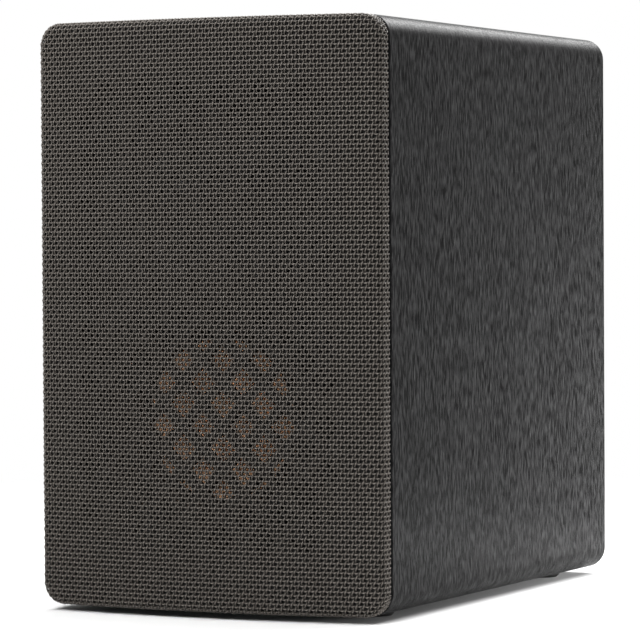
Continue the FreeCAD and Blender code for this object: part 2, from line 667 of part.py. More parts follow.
def grille_cloth():
    """Woven cloth round the grille frame, hemmed behind it, with the ridges of its weft across the front."""
    outer = new_body("cloth_outer")
    wrap(outer, "0", HEM)
    opening = facing(outer, FRAME_BACK)
    rectangle(opening, "cabinet_width - 2 * (grille_inset + hem_width)",
              "cabinet_height - 2 * (grille_inset + hem_width)", up=MIDDLE)
    sink(outer, opening, "cloth_thickness")
    ridges = int(value("(cabinet_height - 2 * (grille_inset + grille_edge_radius)) / weft_pitch"))
    lowest = f"{MIDDLE} - {ridges - 1} / 2 * weft_pitch"
    groove = new_sketch(outer, "YZ_Plane")
    outline(groove, [
        (f"{FRONT} - weft_groove", f"{lowest} - 2 * weft_groove"), (f"{FRONT} + weft_groove", lowest),
        (f"{FRONT} - weft_groove", f"{lowest} + 2 * weft_groove"),
    ])
    axis = groove.addGeometry(Part.LineSegment(
        FreeCAD.Vector(value(BOW_CENTRE), 0, 0), FreeCAD.Vector(value(BOW_CENTRE), value(MIDDLE), 0)), True)
    for end, height in ((1, "0"), (2, MIDDLE)):
        tie(groove, "DistanceX", axis, end, BOW_CENTRE)
        tie(groove, "DistanceY", axis, end, height)
    cut = outer.newObject("PartDesign::Groove", "Groove")
    cut.Profile = groove
    cut.ReferenceAxis = (groove, ["Axis0"])
    cut.Angle = 360
    repeat(outer, cut, groove, ("V_Axis", ridges, "weft_pitch"))
    core = new_body("cloth_core")
    wrap(core, "cloth_thickness", FRAME_BACK)
    cloth = doc.addObject("Part::Cut", "grille_cloth")
    cloth.Base = outer
    cloth.Tool = core
    named(cloth, "grille_cloth")


def grille_frame():
    """Moulded frame: a web of diamonds at the front and a deep rim behind it, with holes for the pegs."""
    body = new_body("grille_frame")
    skin = "(cloth_thickness + cloth_gap)"
    front = f"({FRONT} + {skin})"
    wrap(body, skin, FRAME_BACK)
    half_width = f"(cabinet_width / 2 - grille_inset - {skin} - frame_rim)"
    half_height = f"(cabinet_height / 2 - grille_inset - {skin} - frame_rim)"
    web = f"{skin} + lattice_thickness"
    hollow = beside_bow(body, f"{MIDDLE} - {half_height}", web, half_width, FRAME_BACK)
    sink(body, hollow, f"2 * {half_height}", reverse=True)
    roots = facing(body, f"{FRAME_BACK} - peg_root_depth")
    circles(roots, "peg_root + press_gap", four(PEG_ACROSS, PEG_UP))
    sink(body, roots, "peg_root_depth")
    columns = 2 * int(value(f"({half_width} - diamond_width / 2) / lattice_pitch_across")) + 1
    rows = 2 * int(value(f"({half_height} - diamond_height / 2) / lattice_pitch_up")) + 1
    for wide, tall in ((columns, rows - 1), (columns - 1, rows)):
        across = f"(-{wide - 1} / 2 * lattice_pitch_across)"
        up = f"({MIDDLE} - {tall - 1} / 2 * lattice_pitch_up)"
        diamond = facing(body, front)
        outline(diamond, [
            (f"{across} - diamond_width / 2", up), (across, f"{up} - diamond_height / 2"),
            (f"{across} + diamond_width / 2", up), (across, f"{up} + diamond_height / 2"),
        ])
        hole = sink(body, diamond, "grille_bow + lattice_thickness")
        repeat(body, hole, diamond, ("H_Axis", wide, "lattice_pitch_across"),
               ("V_Axis", tall, "lattice_pitch_up"))
    keep(body)


def grille_fixing():
    """Pegs pressed into the frame, and rubber cups in the baffle that carry the frame and grip the pegs."""
    tip = "peg_length - peg_radius / 2"
    peg = turned("grille_peg", [
        ("0", "-peg_root_depth"), ("peg_root", "-peg_root_depth"), ("peg_root", "0"), ("peg_radius", "0"),
        ("peg_radius", tip), ("peg_radius / 2", "peg_length"), ("0", "peg_length"),
    ], FRAME_BACK, f"{MIDDLE} + {PEG_UP}", PEG_ACROSS)
    named(mirrored_pair(mirrored_pair(peg), MIDDLE), "grille_pegs")
    stem = "(peg_radius + cup_wall)"
    flange = f"{FRAME_BACK} - {BAFFLE_FRONT}"
    bore = "peg_radius + press_gap"
    cup = turned("grille_cup", [
        (bore, flange), (f"{stem} + cup_flange", flange), (f"{stem} + cup_flange", "0"), (stem, "0"),
        (stem, "baffle_thickness"), (bore, "baffle_thickness"),
    ], BAFFLE_FRONT, f"{MIDDLE} + {PEG_UP}", PEG_ACROSS)
    named(mirrored_pair(mirrored_pair(cup), MIDDLE), "grille_cups")


def woofer_frame():
    """Basket with four windows, the foam under its rim, the foam trim ring and the tag strip."""
    front, back = "woofer_sink", "woofer_sink + basket_depth"
    floor = f"{back} - basket_sheet"
    ledge = f"{floor} - spider_ledge"
    rim_back = "woofer_sink + basket_sheet"
    basket = turned("woofer_basket", [
        ("basket_throat", front), ("woofer_flange_radius", front), ("woofer_flange_radius", rim_back),
        ("basket_throat + basket_wall", rim_back), ("basket_waist + basket_wall", back),
        ("basket_bore", back), ("basket_bore", floor), ("spider_radius - spider_lip", floor),
        ("spider_radius - spider_lip", ledge), ("spider_radius", ledge), ("spider_radius", floor),
        ("basket_waist", floor), ("basket_throat", rim_back),
    ], BAFFLE_FRONT, WOOFER)
    inner, outer = "(basket_waist + basket_wall)", "(basket_throat + basket_wall)"
    sine, cosine = "sin(basket_window_angle)", "cos(basket_window_angle)"
    window = new_sketch(basket, "XZ_Plane", f"-({rim_back} + basket_hem)")
    outline(window, [
        (f"-{inner} * {sine}", f"{inner} * {cosine}"),
        (f"-{outer} * {sine}", f"{outer} * {cosine}", ("up", "0", -1)),
        (f"{outer} * {sine}", f"{outer} * {cosine}"),
        (f"{inner} * {sine}", f"{inner} * {cosine}", ("up", "0", 1)),
    ])
    cut = sink(basket, window, "basket_depth - 2 * (basket_sheet + basket_hem)")
    windows = basket.newObject("PartDesign::PolarPattern", "Windows")
    windows.Originals = [cut]
    windows.Axis = (window, ["N_Axis"])
    windows.Angle = 360
    windows.setExpression("Occurrences", bound("basket_windows"))
    basket.Tip = windows
    holes = new_sketch(basket, "XZ_Plane", f"-({front})")
    circles(holes, "driver_screw_radius + fit_gap", four(WOOFER_DIAGONAL, WOOFER_DIAGONAL, "0"))
    sink(basket, holes, "basket_sheet")
    tab = new_sketch(basket, "XZ_Plane", f"-({floor})")
    low, high = "basket_waist", "woofer_plate_radius + fit_gap + terminal_length"
    rectangle(tab, "terminal_width", f"{high} - {low}", up=f"({low} + {high}) / 2")
    grow(basket, tab, "basket_sheet")
    keep(basket)
    foam = new_body("woofer_gasket")
    sheet_cut = facing(foam, f"{BAFFLE_FRONT} + {rim_back}")
    circle(sheet_cut, "woofer_flange_radius", up=WOOFER)
    circle(sheet_cut, "basket_throat + basket_wall + fit_gap", up=WOOFER)
    circles(sheet_cut, "driver_screw_radius + fit_gap", WOOFER_SCREWS)
    grow(foam, sheet_cut, "driver_gasket")
    keep(foam)
    lip_front = "woofer_sink - surround_sheet"
    keep(ring("woofer_trim_ring", "cone_radius + 2 * surround_roll + surround_sheet", "surround_lip_radius",
              f"{lip_front} - trim_thickness", lip_front, BAFFLE_FRONT, WOOFER))
    tags = new_body("woofer_terminals")
    strip = facing(tags, f"{BAFFLE_FRONT} + {back}")
    rectangle(strip, "terminal_width", "terminal_length",
              up=f"{WOOFER} + woofer_plate_radius + fit_gap + terminal_length / 2")
    grow(tags, strip, "terminal_sheet")
    keep(tags)
    screw = pan_screw("woofer_screw", "driver_screw_radius", "driver_screw_head", "driver_head_height",
                      "driver_screw_length", f"{BAFFLE_FRONT} + woofer_sink",
                      f"{WOOFER} + {WOOFER_DIAGONAL}", WOOFER_DIAGONAL)
    named(mirrored_pair(mirrored_pair(screw), WOOFER), "woofer_screws")


def woofer_moving():
    """Cone, dust cap, coil former and winding, with the surround and the spider that carry them."""
    rim = "woofer_sink"
    flat = "(cone_radius - cone_lip)"
    neck = "(coil_radius + former_sheet + press_gap)"
    collar = f"({neck} + cone_sheet)"
    bottom = f"({rim} + cone_depth)"
    keep(turned("woofer_cone", [
        (flat, rim), ("cone_radius", rim), ("cone_radius", f"{rim} + cone_sheet"),
        (f"{flat} + cone_sheet / 2", f"{rim} + cone_sheet"), (collar, f"{bottom} + cone_sheet"),
        (collar, f"{bottom} + neck_length"), (neck, f"{bottom} + neck_length"), (neck, bottom),
    ], BAFFLE_FRONT, WOOFER))
    seat = f"({rim} + ({flat} - cap_radius) * cone_depth / ({flat} - {neck}) - fit_gap)"
    keep(turned("woofer_dust_cap", [
        ("0", f"{seat} - cap_height + cap_sheet"), ("0", f"{seat} - cap_height", ("across", "0", 1)),
        ("cap_radius", seat), ("cap_radius - cap_sheet", seat, ("across", "0", -1)),
    ], BAFFLE_FRONT, WOOFER))
    inside, outside = "coil_radius", "(coil_radius + former_sheet)"
    top = f"{bottom} - fit_gap"
    keep(ring("woofer_coil_former", inside, outside, top, f"{top} + former_length", BAFFLE_FRONT, WOOFER))
    gap = "(woofer_sink + basket_depth + woofer_plate_thickness / 2)"
    keep(ring("woofer_winding", outside, f"{outside} + winding_thickness", f"{gap} - winding_length / 2",
              f"{gap} + winding_length / 2", BAFFLE_FRONT, WOOFER))
    middle = "(cone_radius + surround_roll)"
    lip = f"({rim} - surround_sheet)"
    inner_roll = "(surround_roll - surround_sheet)"
    keep(turned("woofer_surround", [
        (flat, lip), ("cone_radius", lip, ("up", lip, 1)), (f"{middle} + surround_roll", lip),
        ("surround_lip_radius", lip), ("surround_lip_radius", rim),
        (f"{middle} + {inner_roll}", rim, ("up", rim, -1)), (f"{middle} - {inner_roll}", rim), (flat, rim),
    ], BAFFLE_FRONT, WOOFER))
    keep(turned("woofer_spider", spider_section(), BAFFLE_FRONT, WOOFER))


def spider_section():
    """Waved strip from the coil former to the ledge in the basket, each wave a straight rise and fall."""
    back = "(woofer_sink + basket_depth - basket_sheet - spider_ledge)"
    inner = "(coil_radius + former_sheet + press_gap)"
    start, end = f"({inner} + spider_lip)", "(spider_radius - spider_lip)"
    turns = int(value("spider_slopes"))
    crests = [(f"{start} + {i} / spider_slopes * ({end} - {start})",
               f"{back} - spider_wave * {i % 2} * {2 - i % 4}") for i in range(turns + 1)]
    under = [(inner, back)] + crests + [("spider_radius", back)]
    return [(radius, f"{depth} - spider_sheet") for radius, depth in under] + under[::-1]


def woofer_motor():
    """Top plate, ring magnet and yoke; the coil moves in the gap between plate and pole."""
    plate = "(woofer_sink + basket_depth)"
    magnet = f"({plate} + woofer_plate_thickness)"
    yoke = f"({magnet} + woofer_magnet_thickness)"
    outside = "coil_radius + former_sheet + winding_thickness + coil_clearance"
    pole = "coil_radius - coil_clearance"
    keep(ring("woofer_top_plate", outside, "woofer_plate_radius", plate, magnet, BAFFLE_FRONT, WOOFER))
    keep(ring("woofer_magnet", "woofer_magnet_bore", "woofer_magnet_radius", magnet, yoke,
              BAFFLE_FRONT, WOOFER))
    end = f"{yoke} + woofer_yoke_thickness"
    keep(turned("woofer_yoke", [
        ("woofer_vent", plate), (pole, plate), (pole, yoke), ("woofer_plate_radius", yoke),
        ("woofer_plate_radius", end), ("woofer_vent", end),
    ], BAFFLE_FRONT, WOOFER))


def tweeter():
    """Faceplate with a flared mouth, silk dome with its coil, and the motor behind them."""
    back = "faceplate_thickness"
    flare = "faceplate_throat + faceplate_flare"
    face = turned("tweeter_faceplate", [
        (flare, "0"), ("faceplate_radius", "0"), ("faceplate_radius", back), ("faceplate_throat", back),
        ("faceplate_throat", f"{back} - throat_land", ("across", flare, 1)),
    ], BAFFLE_FRONT, TWEETER)
    holes = new_sketch(face, "XZ_Plane")
    circles(holes, "tweeter_screw_radius + fit_gap", four(TWEETER_DIAGONAL, TWEETER_DIAGONAL, "0"))
    sink(face, holes, back)
    heads = new_sketch(face, "XZ_Plane")
    circles(heads, "tweeter_screw_head + fit_gap", four(TWEETER_DIAGONAL, TWEETER_DIAGONAL, "0"))
    sink(face, heads, "tweeter_head_height")
    keep(face)
    under = f"({back} + dome_sheet)"
    roll = "(dome_radius + dome_roll)"
    thin = "(dome_roll - dome_sheet)"
    apex = f"({back} - dome_height)"
    keep(turned("tweeter_dome", [
        ("0", f"{apex} + dome_sheet"), ("0", apex, ("across", "0", 1)),
        ("dome_radius", back, ("up", back, 1)), (f"{roll} + dome_roll", back),
        (f"{roll} + dome_roll + dome_lip", back), (f"{roll} + dome_roll + dome_lip", under),
        (f"{roll} + {thin}", under, ("up", under, -1)),
        (f"{roll} - {thin}", under), ("dome_radius - dome_sheet", under, ("across", "0", -1)),
    ], BAFFLE_FRONT, TWEETER))
    coil = "(dome_radius - dome_sheet)"
    keep(ring("tweeter_winding", coil, f"{coil} + tweeter_coil_thickness",
              under, f"{under} + tweeter_coil_length", BAFFLE_FRONT, TWEETER))
    magnet = f"({under} + tweeter_plate_thickness)"
    yoke = f"({magnet} + tweeter_magnet_thickness)"
    end = f"{yoke} + tweeter_yoke_thickness"
    pole = f"{coil} - tweeter_gap"
    keep(ring("tweeter_top_plate", f"{coil} + tweeter_coil_thickness + tweeter_gap", "tweeter_motor_radius",
              under, magnet, BAFFLE_FRONT, TWEETER))
    keep(ring("tweeter_magnet", "tweeter_magnet_bore", "tweeter_motor_radius", magnet, yoke,
              BAFFLE_FRONT, TWEETER))
    keep(turned("tweeter_yoke", [
        ("0", under), (pole, under), (pole, yoke), ("tweeter_motor_radius", yoke),
        ("tweeter_motor_radius", end), ("0", end),
    ], BAFFLE_FRONT, TWEETER))
    tags = new_body("tweeter_terminals")
    slab(tags, f"{BAFFLE_FRONT} + {end}", "terminal_sheet", "terminal_width", "terminal_length", "0", TWEETER)
    keep(tags)
    screw = pan_screw("tweeter_screw", "tweeter_screw_radius", "tweeter_screw_head", "tweeter_head_height",
                      "tweeter_screw_length", f"{BAFFLE_FRONT} + tweeter_head_height",
                      f"{TWEETER} + {TWEETER_DIAGONAL}", TWEETER_DIAGONAL)
    named(mirrored_pair(mirrored_pair(screw), TWEETER), "tweeter_screws")


def rear_panel():
    """Moulded panel with openings for the port, buttons and sockets, and bosses for the boards."""
    body = new_body("rear_panel")
    plate = facing(body, PANEL_FRONT)
    let_in(plate)
    grow(body, plate, "panel_thickness")
    bosses = facing(body, BOARD_BACK)
    circles(bosses, "standoff_radius", BOARD_SCREWS)
    grow(body, bosses, "board_standoff")
    openings = facing(body, PANEL_FRONT)
    circle(openings, f"{PORT_COLLAR} + fit_gap", up=PORT)
    circles(openings, "button_radius + button_gap", [(across, BUTTONS) for across in BUTTON_ACROSS])
    circle(openings, "pipe_radius + press_gap", up=BUTTONS)
    circle(openings, "aux_nose_radius + fit_gap", "aux_offset", SOCKETS)
    rectangle(openings, "network_width + 2 * fit_gap", "network_height + 2 * fit_gap",
              "-network_offset", SOCKETS)
    rectangle(openings, "inlet_width + 2 * fit_gap", "inlet_height + 2 * fit_gap", "inlet_offset", INLET)
    circles(openings, "cabinet_screw_radius + fit_gap", four(CHANNEL_ACROSS, CHANNEL_UP))
    sink(body, openings, "panel_thickness")
    flange = facing(body, f"{PANEL_BACK} - port_flange_thickness")
    circle(flange, "port_flange_radius + fit_gap", up=PORT)
    sink(body, flange, "port_flange_thickness")
    heads = facing(body, f"{PANEL_BACK} - panel_screw_sink")
    circles(heads, "cabinet_screw_head + fit_gap", four(CHANNEL_ACROSS, CHANNEL_UP))
    sink(body, heads, "panel_screw_sink")
    pilots = facing(body, BOARD_BACK)
    circles(pilots, "board_screw_radius + press_gap", BOARD_SCREWS)
    sink(body, pilots, "board_standoff")
    keep(body)


def port_tube():
    """Bass reflex tube with a rounded mouth, glued into the rear panel."""
    tube = "port_radius + port_wall"
    keep(turned("port_tube", [
        ("port_radius", "-port_length"),
        ("port_radius", "-port_flare", ("across", "port_radius + port_flare", -1)),
        ("port_radius + port_flare", "0"), ("port_flange_radius", "0"),
        ("port_flange_radius", "-port_flange_thickness"),
        (PORT_COLLAR, "-port_flange_thickness"), (PORT_COLLAR, "-port_collar_depth"),
        (tube, "-port_collar_depth - port_collar"), (tube, "-port_length"),
    ], PANEL_BACK, PORT))


def plus_outline(sketch):
    """Plus sign with equal arms."""
    arm, half = "mark_length / 2", "mark_width / 2"
    quarter = [(arm, half), (half, half), (half, arm)]
    turns = [(1, 1, quarter), (-1, 1, quarter[::-1]), (-1, -1, quarter), (1, -1, quarter[::-1])]
    outline(sketch, [(f"{right} * {x}", f"{top} * {z}") for right, top, part in turns for x, z in part])


def ring_outline(sketch):
    """Ring sign."""
    circle(sketch, "mark_length / 2")
    circle(sketch, "mark_length / 2 - mark_width")


def buttons():
    """Four keys, held behind the panel by their collars; each has its own sunk sign."""
    signs = {
        "power_button": ring_outline,
        "pairing_button": lambda sketch: circle(sketch, "mark_width"),
        "volume_down_button": lambda sketch: rectangle(sketch, "mark_length", "mark_width"),
        "volume_up_button": plus_outline,
    }
    collar = "button_radius + button_flange"
    inner = "-panel_thickness - button_collar"
    end = "-(panel_thickness + board_standoff - switch_body - plunger_height - button_reach)"
    for (label, draw), across in zip(signs.items(), BUTTON_ACROSS):
        key = turned(label, [
            ("0", "button_proud"), ("button_radius - button_bevel", "button_proud"),
            ("button_radius", "button_proud - button_bevel"), ("button_radius", "-panel_thickness"),
            (collar, "-panel_thickness"), (collar, inner), ("button_stem", inner), ("button_stem", end),
            ("0", end),
        ], PANEL_BACK, BUTTONS, across)
        sign = new_sketch(key, "XZ_Plane", "-button_proud")
        draw(sign)
        sink(key, sign, "mark_depth", reverse=True)
        keep(key)


def slab(body, depth, length, width, height, across, up):
    """Plain block of a body, from a depth towards the rear."""
    sketch = facing(body, depth)
    rectangle(sketch, width, height, across, up)
    return grow(body, sketch, length)


def switches_and_light():
    """Push switches under the buttons, and the status light with its clear pipe."""
    made = []
    for across in BUTTON_ACROSS:
        body = new_body("button_switch")
        slab(body, BOARD_BACK, "switch_body", "switch_side", "switch_side", across, BUTTONS)
        plunger = facing(body, f"{BOARD_BACK} + switch_body")
        circle(plunger, "plunger_radius", across, BUTTONS)
        grow(body, plunger, "plunger_height")
        made.append(body)
    group = doc.addObject("Part::Compound", "button_switches")
    group.Links = made
    named(group, "button_switches")
    light = new_body("status_led")
    slab(light, BOARD_BACK, "led_height", "led_side", "led_side", "0", BUTTONS)
    keep(light)
    keep(ring("light_pipe", "0", "pipe_radius", "led_height + pipe_gap",
              "board_standoff + panel_thickness + pipe_proud", BOARD_BACK, BUTTONS))


def sockets():
    """Network socket, audio jack and mains inlet, each standing on its board and ending at the panel."""
    reach = "board_standoff + panel_thickness"
    network = new_body("network_socket")
    slab(network, BOARD_BACK, reach, "network_width", "network_height", "-network_offset", SOCKETS)
    mouth = facing(network, f"{PANEL_BACK} - network_plug_depth")
    side, latch = "network_plug_width / 2", "network_latch_width / 2"
    low = f"{SOCKETS} - (network_plug_height + network_latch_height) / 2"
    step, high = f"{low} + network_plug_height", f"{low} + network_plug_height + network_latch_height"
    outline(mouth, [(f"{across} - network_offset", up) for across, up in (
        (f"-{side}", low), (side, low), (side, step), (latch, step), (latch, high), (f"-{latch}", high),
        (f"-{latch}", step), (f"-{side}", step))])
    sink(network, mouth, "network_plug_depth")
    keep(network)
    jack = new_body("aux_jack")
    slab(jack, BOARD_BACK, "board_standoff", "aux_width", "aux_height", "aux_offset", SOCKETS)
    nose = facing(jack, PANEL_FRONT)
    circle(nose, "aux_nose_radius", "aux_offset", SOCKETS)
    grow(jack, nose, "panel_thickness")
    bore = facing(jack, f"{PANEL_BACK} - aux_bore_depth")
    circle(bore, "aux_bore_radius", "aux_offset", SOCKETS)
    sink(jack, bore, "aux_bore_depth")
    keep(jack)
    inlet = new_body("mains_inlet")
    slab(inlet, BOARD_BACK, reach, "inlet_width", "inlet_height", "inlet_offset", INLET)
    rim = facing(inlet, PANEL_BACK)
    rounded(rim, "inlet_width + 2 * inlet_flange", "inlet_height + 2 * inlet_flange", "inlet_flange",
            "inlet_offset", INLET)
    grow(inlet, rim, "inlet_rim")
    cavity = facing(inlet, f"{PANEL_BACK} + inlet_rim - inlet_mouth_depth")
    rounded(cavity, "inlet_mouth_width", "inlet_mouth_height", "inlet_mouth_corner", "inlet_offset", INLET)
    sink(inlet, cavity, "inlet_mouth_depth")
    floor = f"({reach} + inlet_rim - inlet_mouth_depth)"
    places = [f"inlet_offset + {hand} * pin_pitch / 2" for hand in (-1, 1)]
    holes = facing(inlet, BOARD_BACK)
    circles(holes, "pin_radius + press_gap", [(across, INLET) for across in places])
    sink(inlet, holes, floor)
    keep(inlet)
    pins = doc.addObject("Part::Compound", "inlet_pins")
    pins.Links = [turned("inlet_pin", [
        ("0", "0"), ("pin_radius", "0"), ("pin_radius", f"{floor} + pin_length - pin_radius / 2"),
        ("pin_radius / 2", f"{floor} + pin_length"), ("0", f"{floor} + pin_length"),
    ], BOARD_BACK, INLET, across) for across in places]
    named(pins, "inlet_pins")


def boards():
    """Main board and power board on the panel's bosses, with the screws that hold them."""
    heads = []
    for label, bottom, height in (("main_board", "main_board_bottom", "main_board_height"),
                                  ("power_board", "power_board_bottom", "power_board_height")):
        middle = f"({MIDDLE} + {bottom} + {height} / 2)"
        body = new_body(label)
        sketch = facing(body, BOARD_FRONT)
        rounded(sketch, "board_width", height, "board_corner", up=middle)
        circles(sketch, "board_screw_radius + fit_gap", board_corners(bottom, height))
        grow(body, sketch, "board_thickness")
        keep(body)
        screw = pan_screw(f"{label}_screw", "board_screw_radius", "board_screw_head", "board_head_height",
                          "board_screw_length", BOARD_FRONT,
                          f"{middle} + {height} / 2 - board_screw_inset", BOARD_EDGE)
        heads.append(mirrored_pair(screw, middle))
    group = doc.addObject("Part::Compound", "board_screw_side")
    group.Links = heads
    named(mirrored_pair(group), "board_screws")


def board_corners(bottom, height):
    """Places of a board's four screws."""
    return four(BOARD_EDGE, f"{height} / 2 - board_screw_inset", f"{MIDDLE} + {bottom} + {height} / 2")


def electronics():
    """Wireless module, amplifier with its heatsink, transformer and capacitors, in front of the boards."""
    can = new_body("wireless_module")
    face = f"{BOARD_FRONT} - module_thickness"
    lid = slab(can, face, "module_thickness", "module_width", "module_height", "module_offset",
               f"{MIDDLE} + module_row")
    chamfer(can, lid, face, "module_edge")
    keep(can)
    chip = new_body("amplifier_chip")
    slab(chip, f"{BOARD_FRONT} - chip_thickness", "chip_thickness", "chip_side", "chip_side",
         "-amplifier_offset", AMPLIFIER)
    keep(chip)
    heatsink = new_body("amplifier_heatsink")
    base = f"{BOARD_FRONT} - chip_thickness - heatsink_base"
    slab(heatsink, base, "heatsink_base", "heatsink_width", "heatsink_height", "-amplifier_offset", AMPLIFIER)
    first = "-amplifier_offset - (heatsink_width - fin_sheet) / 2"
    fin_sketch = facing(heatsink, f"{base} - fin_depth")
    rectangle(fin_sketch, "fin_sheet", "heatsink_height", first, AMPLIFIER)
    fin = grow(heatsink, fin_sketch, "fin_depth")
    count = int(value("(heatsink_width - fin_sheet) / fin_pitch")) + 1
    repeat(heatsink, fin, fin_sketch, ("H_Axis", count, f"(heatsink_width - fin_sheet) / {count - 1}"))
    keep(heatsink)
    core = new_body("transformer")
    slab(core, f"{BOARD_FRONT} - transformer_depth", "transformer_depth",
         "transformer_width", "transformer_height", "-transformer_offset", POWER)
    coil = facing(core, f"{BOARD_FRONT} - transformer_depth + bobbin_inset")
    rounded(coil, "bobbin_length", "bobbin_side", "bobbin_inset", "-transformer_offset", POWER)
    grow(core, coil, "transformer_depth - 2 * bobbin_inset")
    keep(core)
    cans = doc.addObject("Part::Compound", "reservoir_capacitors")
    cans.Links = [turned("capacitor", [
        ("0", "0"), ("capacitor_radius", "0"), ("capacitor_radius", "capacitor_edge - capacitor_length"),
        ("capacitor_radius - capacitor_edge", "-capacitor_length"), ("0", "-capacitor_length"),
    ], BOARD_FRONT, POWER, f"capacitor_offset + {i} * capacitor_pitch") for i in (0, 1)]
    named(cans, "reservoir_capacitors")


def lead(label, start, corners):
    """Insulated pair along a route of runs and arcs, in an upright plane beside the middle."""
    body = new_body(label)
    route = new_sketch(body, "YZ_Plane", "lead_offset")
    outline(route, corners, closed=False)
    section = facing(body, start)
    circle(section, "lead_radius", "lead_offset", corners[0][1])
    pipe = body.newObject("PartDesign::AdditivePipe", "Lead")
    pipe.Profile = section
    pipe.Spine = (route, [])
    keep(body)


def driver_leads():
    """Plug sockets on the main board and a lead from each to its driver: one sags, one comes down in an S."""
    woofer_up = f"({WOOFER} + woofer_magnet_radius + lead_radius + terminal_sheet)"
    tweeter_up = f"({woofer_up} + header_pitch)"
    end = f"({BOARD_FRONT} - header_height)"
    blocks = []
    for up in (woofer_up, tweeter_up):
        body = new_body("speaker_header")
        slab(body, end, "header_height", "header_side", "header_side", "lead_offset", up)
        blocks.append(body)
    group = doc.addObject("Part::Compound", "speaker_headers")
    group.Links = blocks
    named(group, "speaker_headers")
    start = f"({BAFFLE_FRONT} + woofer_sink + basket_depth + terminal_sheet)"
    near = f"({start} + lead_run)"
    step = "lead_bend * sin(lead_slope)"
    fall = "lead_bend * (1 - cos(lead_slope))"
    trough = f"{woofer_up} - 2 * {fall} + lead_bend"
    half_down = f"({woofer_up} - {fall})"
    far = f"({near} + 4 * {step})"
    lead("woofer_lead", start, [
        (start, woofer_up), (near, woofer_up, ("across", near, -1)),
        (f"{near} + {step}", half_down, ("up", trough, 1)),
        (f"{near} + 3 * {step}", half_down, ("across", far, -1)),
        (far, woofer_up), (end, woofer_up),
    ])
    start = (f"({BAFFLE_FRONT} + faceplate_thickness + dome_sheet + tweeter_plate_thickness"
             " + tweeter_magnet_thickness + tweeter_yoke_thickness + terminal_sheet)")
    near = f"({start} + lead_run)"
    middle = f"(({TWEETER} + {tweeter_up}) / 2)"
    step = f"(({TWEETER} - {middle}) / (1 - cos(lead_drop)) * sin(lead_drop))"
    lead("tweeter_lead", start, [
        (start, TWEETER), (near, TWEETER, ("across", near, -1)),
        (f"{near} + {step}", middle, ("across", f"{near} + 2 * {step}", 1)),
        (f"{near} + 2 * {step}", tweeter_up), (end, tweeter_up),
    ])


# Places that the rear and the drivers share
WOOFER_SEAT = "(woofer_sink + basket_sheet + driver_gasket)"
WOOFER_DIAGONAL = "(driver_screw_circle * sqrt(0.5))"
TWEETER_DIAGONAL = "(tweeter_screw_circle * sqrt(0.5))"
WOOFER_SCREWS = four(WOOFER_DIAGONAL, WOOFER_DIAGONAL, WOOFER)
TWEETER_SCREWS = four(TWEETER_DIAGONAL, TWEETER_DIAGONAL, TWEETER)
PEG_ACROSS = "(cabinet_width / 2 - peg_inset_side)"
PEG_UP = "(cabinet_height / 2 - peg_inset_end)"
PORT = f"({MIDDLE} + port_height)"
PORT_COLLAR = "(port_radius + port_wall + port_collar)"
BUTTONS = f"({MIDDLE} + button_row)"
BUTTON_ACROSS = [f"{step} * button_pitch / 2" for step in (3, 1, -1, -3)]
SOCKETS = f"({MIDDLE} + socket_row)"
INLET = f"({MIDDLE} + inlet_row)"
AMPLIFIER = f"({MIDDLE} + amplifier_row)"
POWER = f"({MIDDLE} + power_board_bottom + power_board_height / 2)"
BOARD_EDGE = "(board_width / 2 - board_screw_inset)"
BOARD_SCREWS = (board_corners("main_board_bottom", "main_board_height")
                + board_corners("power_board_bottom", "power_board_height"))

cabinet_sleeve()
feet()
front_baffle()
seal("baffle_seal", BAFFLE_BACK)
cabinet_screws("baffle_screws", f"{BAFFLE_FRONT} + head_sink", 1)
grille_frame()
grille_cloth()
grille_fixing()
woofer_frame()
woofer_moving()
woofer_motor()
tweeter()
rear_panel()
seal("panel_seal", CHANNEL_BACK)
cabinet_screws("panel_screws", f"{PANEL_BACK} - panel_screw_sink", -1)
port_tube()
buttons()
switches_and_light()
sockets()
boards()
electronics()
driver_leads()

doc.recompute()
failed = [thing.Label for thing in doc.Objects if {"Invalid", "Error"} & set(thing.State)]
failed += [thing.Label for thing in subparts if thing.Shape.isNull() or not thing.Shape.isValid()]
if failed:
    raise RuntimeError(f"failed: {failed}")
for thing in subparts:
    thing.Shape.exportStep(f"parts/{thing.Label}.step")
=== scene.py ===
import json
import bmesh
import bpy
import numpy as np
from mathutils import Matrix, Vector


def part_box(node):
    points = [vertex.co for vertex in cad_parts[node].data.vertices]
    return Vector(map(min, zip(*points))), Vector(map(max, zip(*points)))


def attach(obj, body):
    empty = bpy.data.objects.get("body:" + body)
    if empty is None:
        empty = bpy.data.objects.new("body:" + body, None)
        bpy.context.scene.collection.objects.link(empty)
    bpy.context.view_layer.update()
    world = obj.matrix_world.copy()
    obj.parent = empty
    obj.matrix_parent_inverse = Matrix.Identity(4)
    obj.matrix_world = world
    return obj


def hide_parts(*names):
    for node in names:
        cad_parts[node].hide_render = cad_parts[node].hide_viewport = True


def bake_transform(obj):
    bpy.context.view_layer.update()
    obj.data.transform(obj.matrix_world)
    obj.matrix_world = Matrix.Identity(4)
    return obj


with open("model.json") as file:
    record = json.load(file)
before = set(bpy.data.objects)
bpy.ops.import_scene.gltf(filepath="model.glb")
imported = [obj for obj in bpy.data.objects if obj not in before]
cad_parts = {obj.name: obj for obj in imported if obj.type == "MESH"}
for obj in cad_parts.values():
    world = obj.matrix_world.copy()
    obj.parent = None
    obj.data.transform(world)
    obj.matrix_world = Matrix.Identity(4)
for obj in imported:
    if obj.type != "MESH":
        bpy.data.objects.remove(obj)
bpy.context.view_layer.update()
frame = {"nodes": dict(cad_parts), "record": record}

# Camera
# A long lens that looks at the grille and the right side, a little from above, as the photograph does.
# Its place is given by turning about a point near the middle of the cabinet.
aim = Vector((-0.0056, 0.0025, 0.0883))
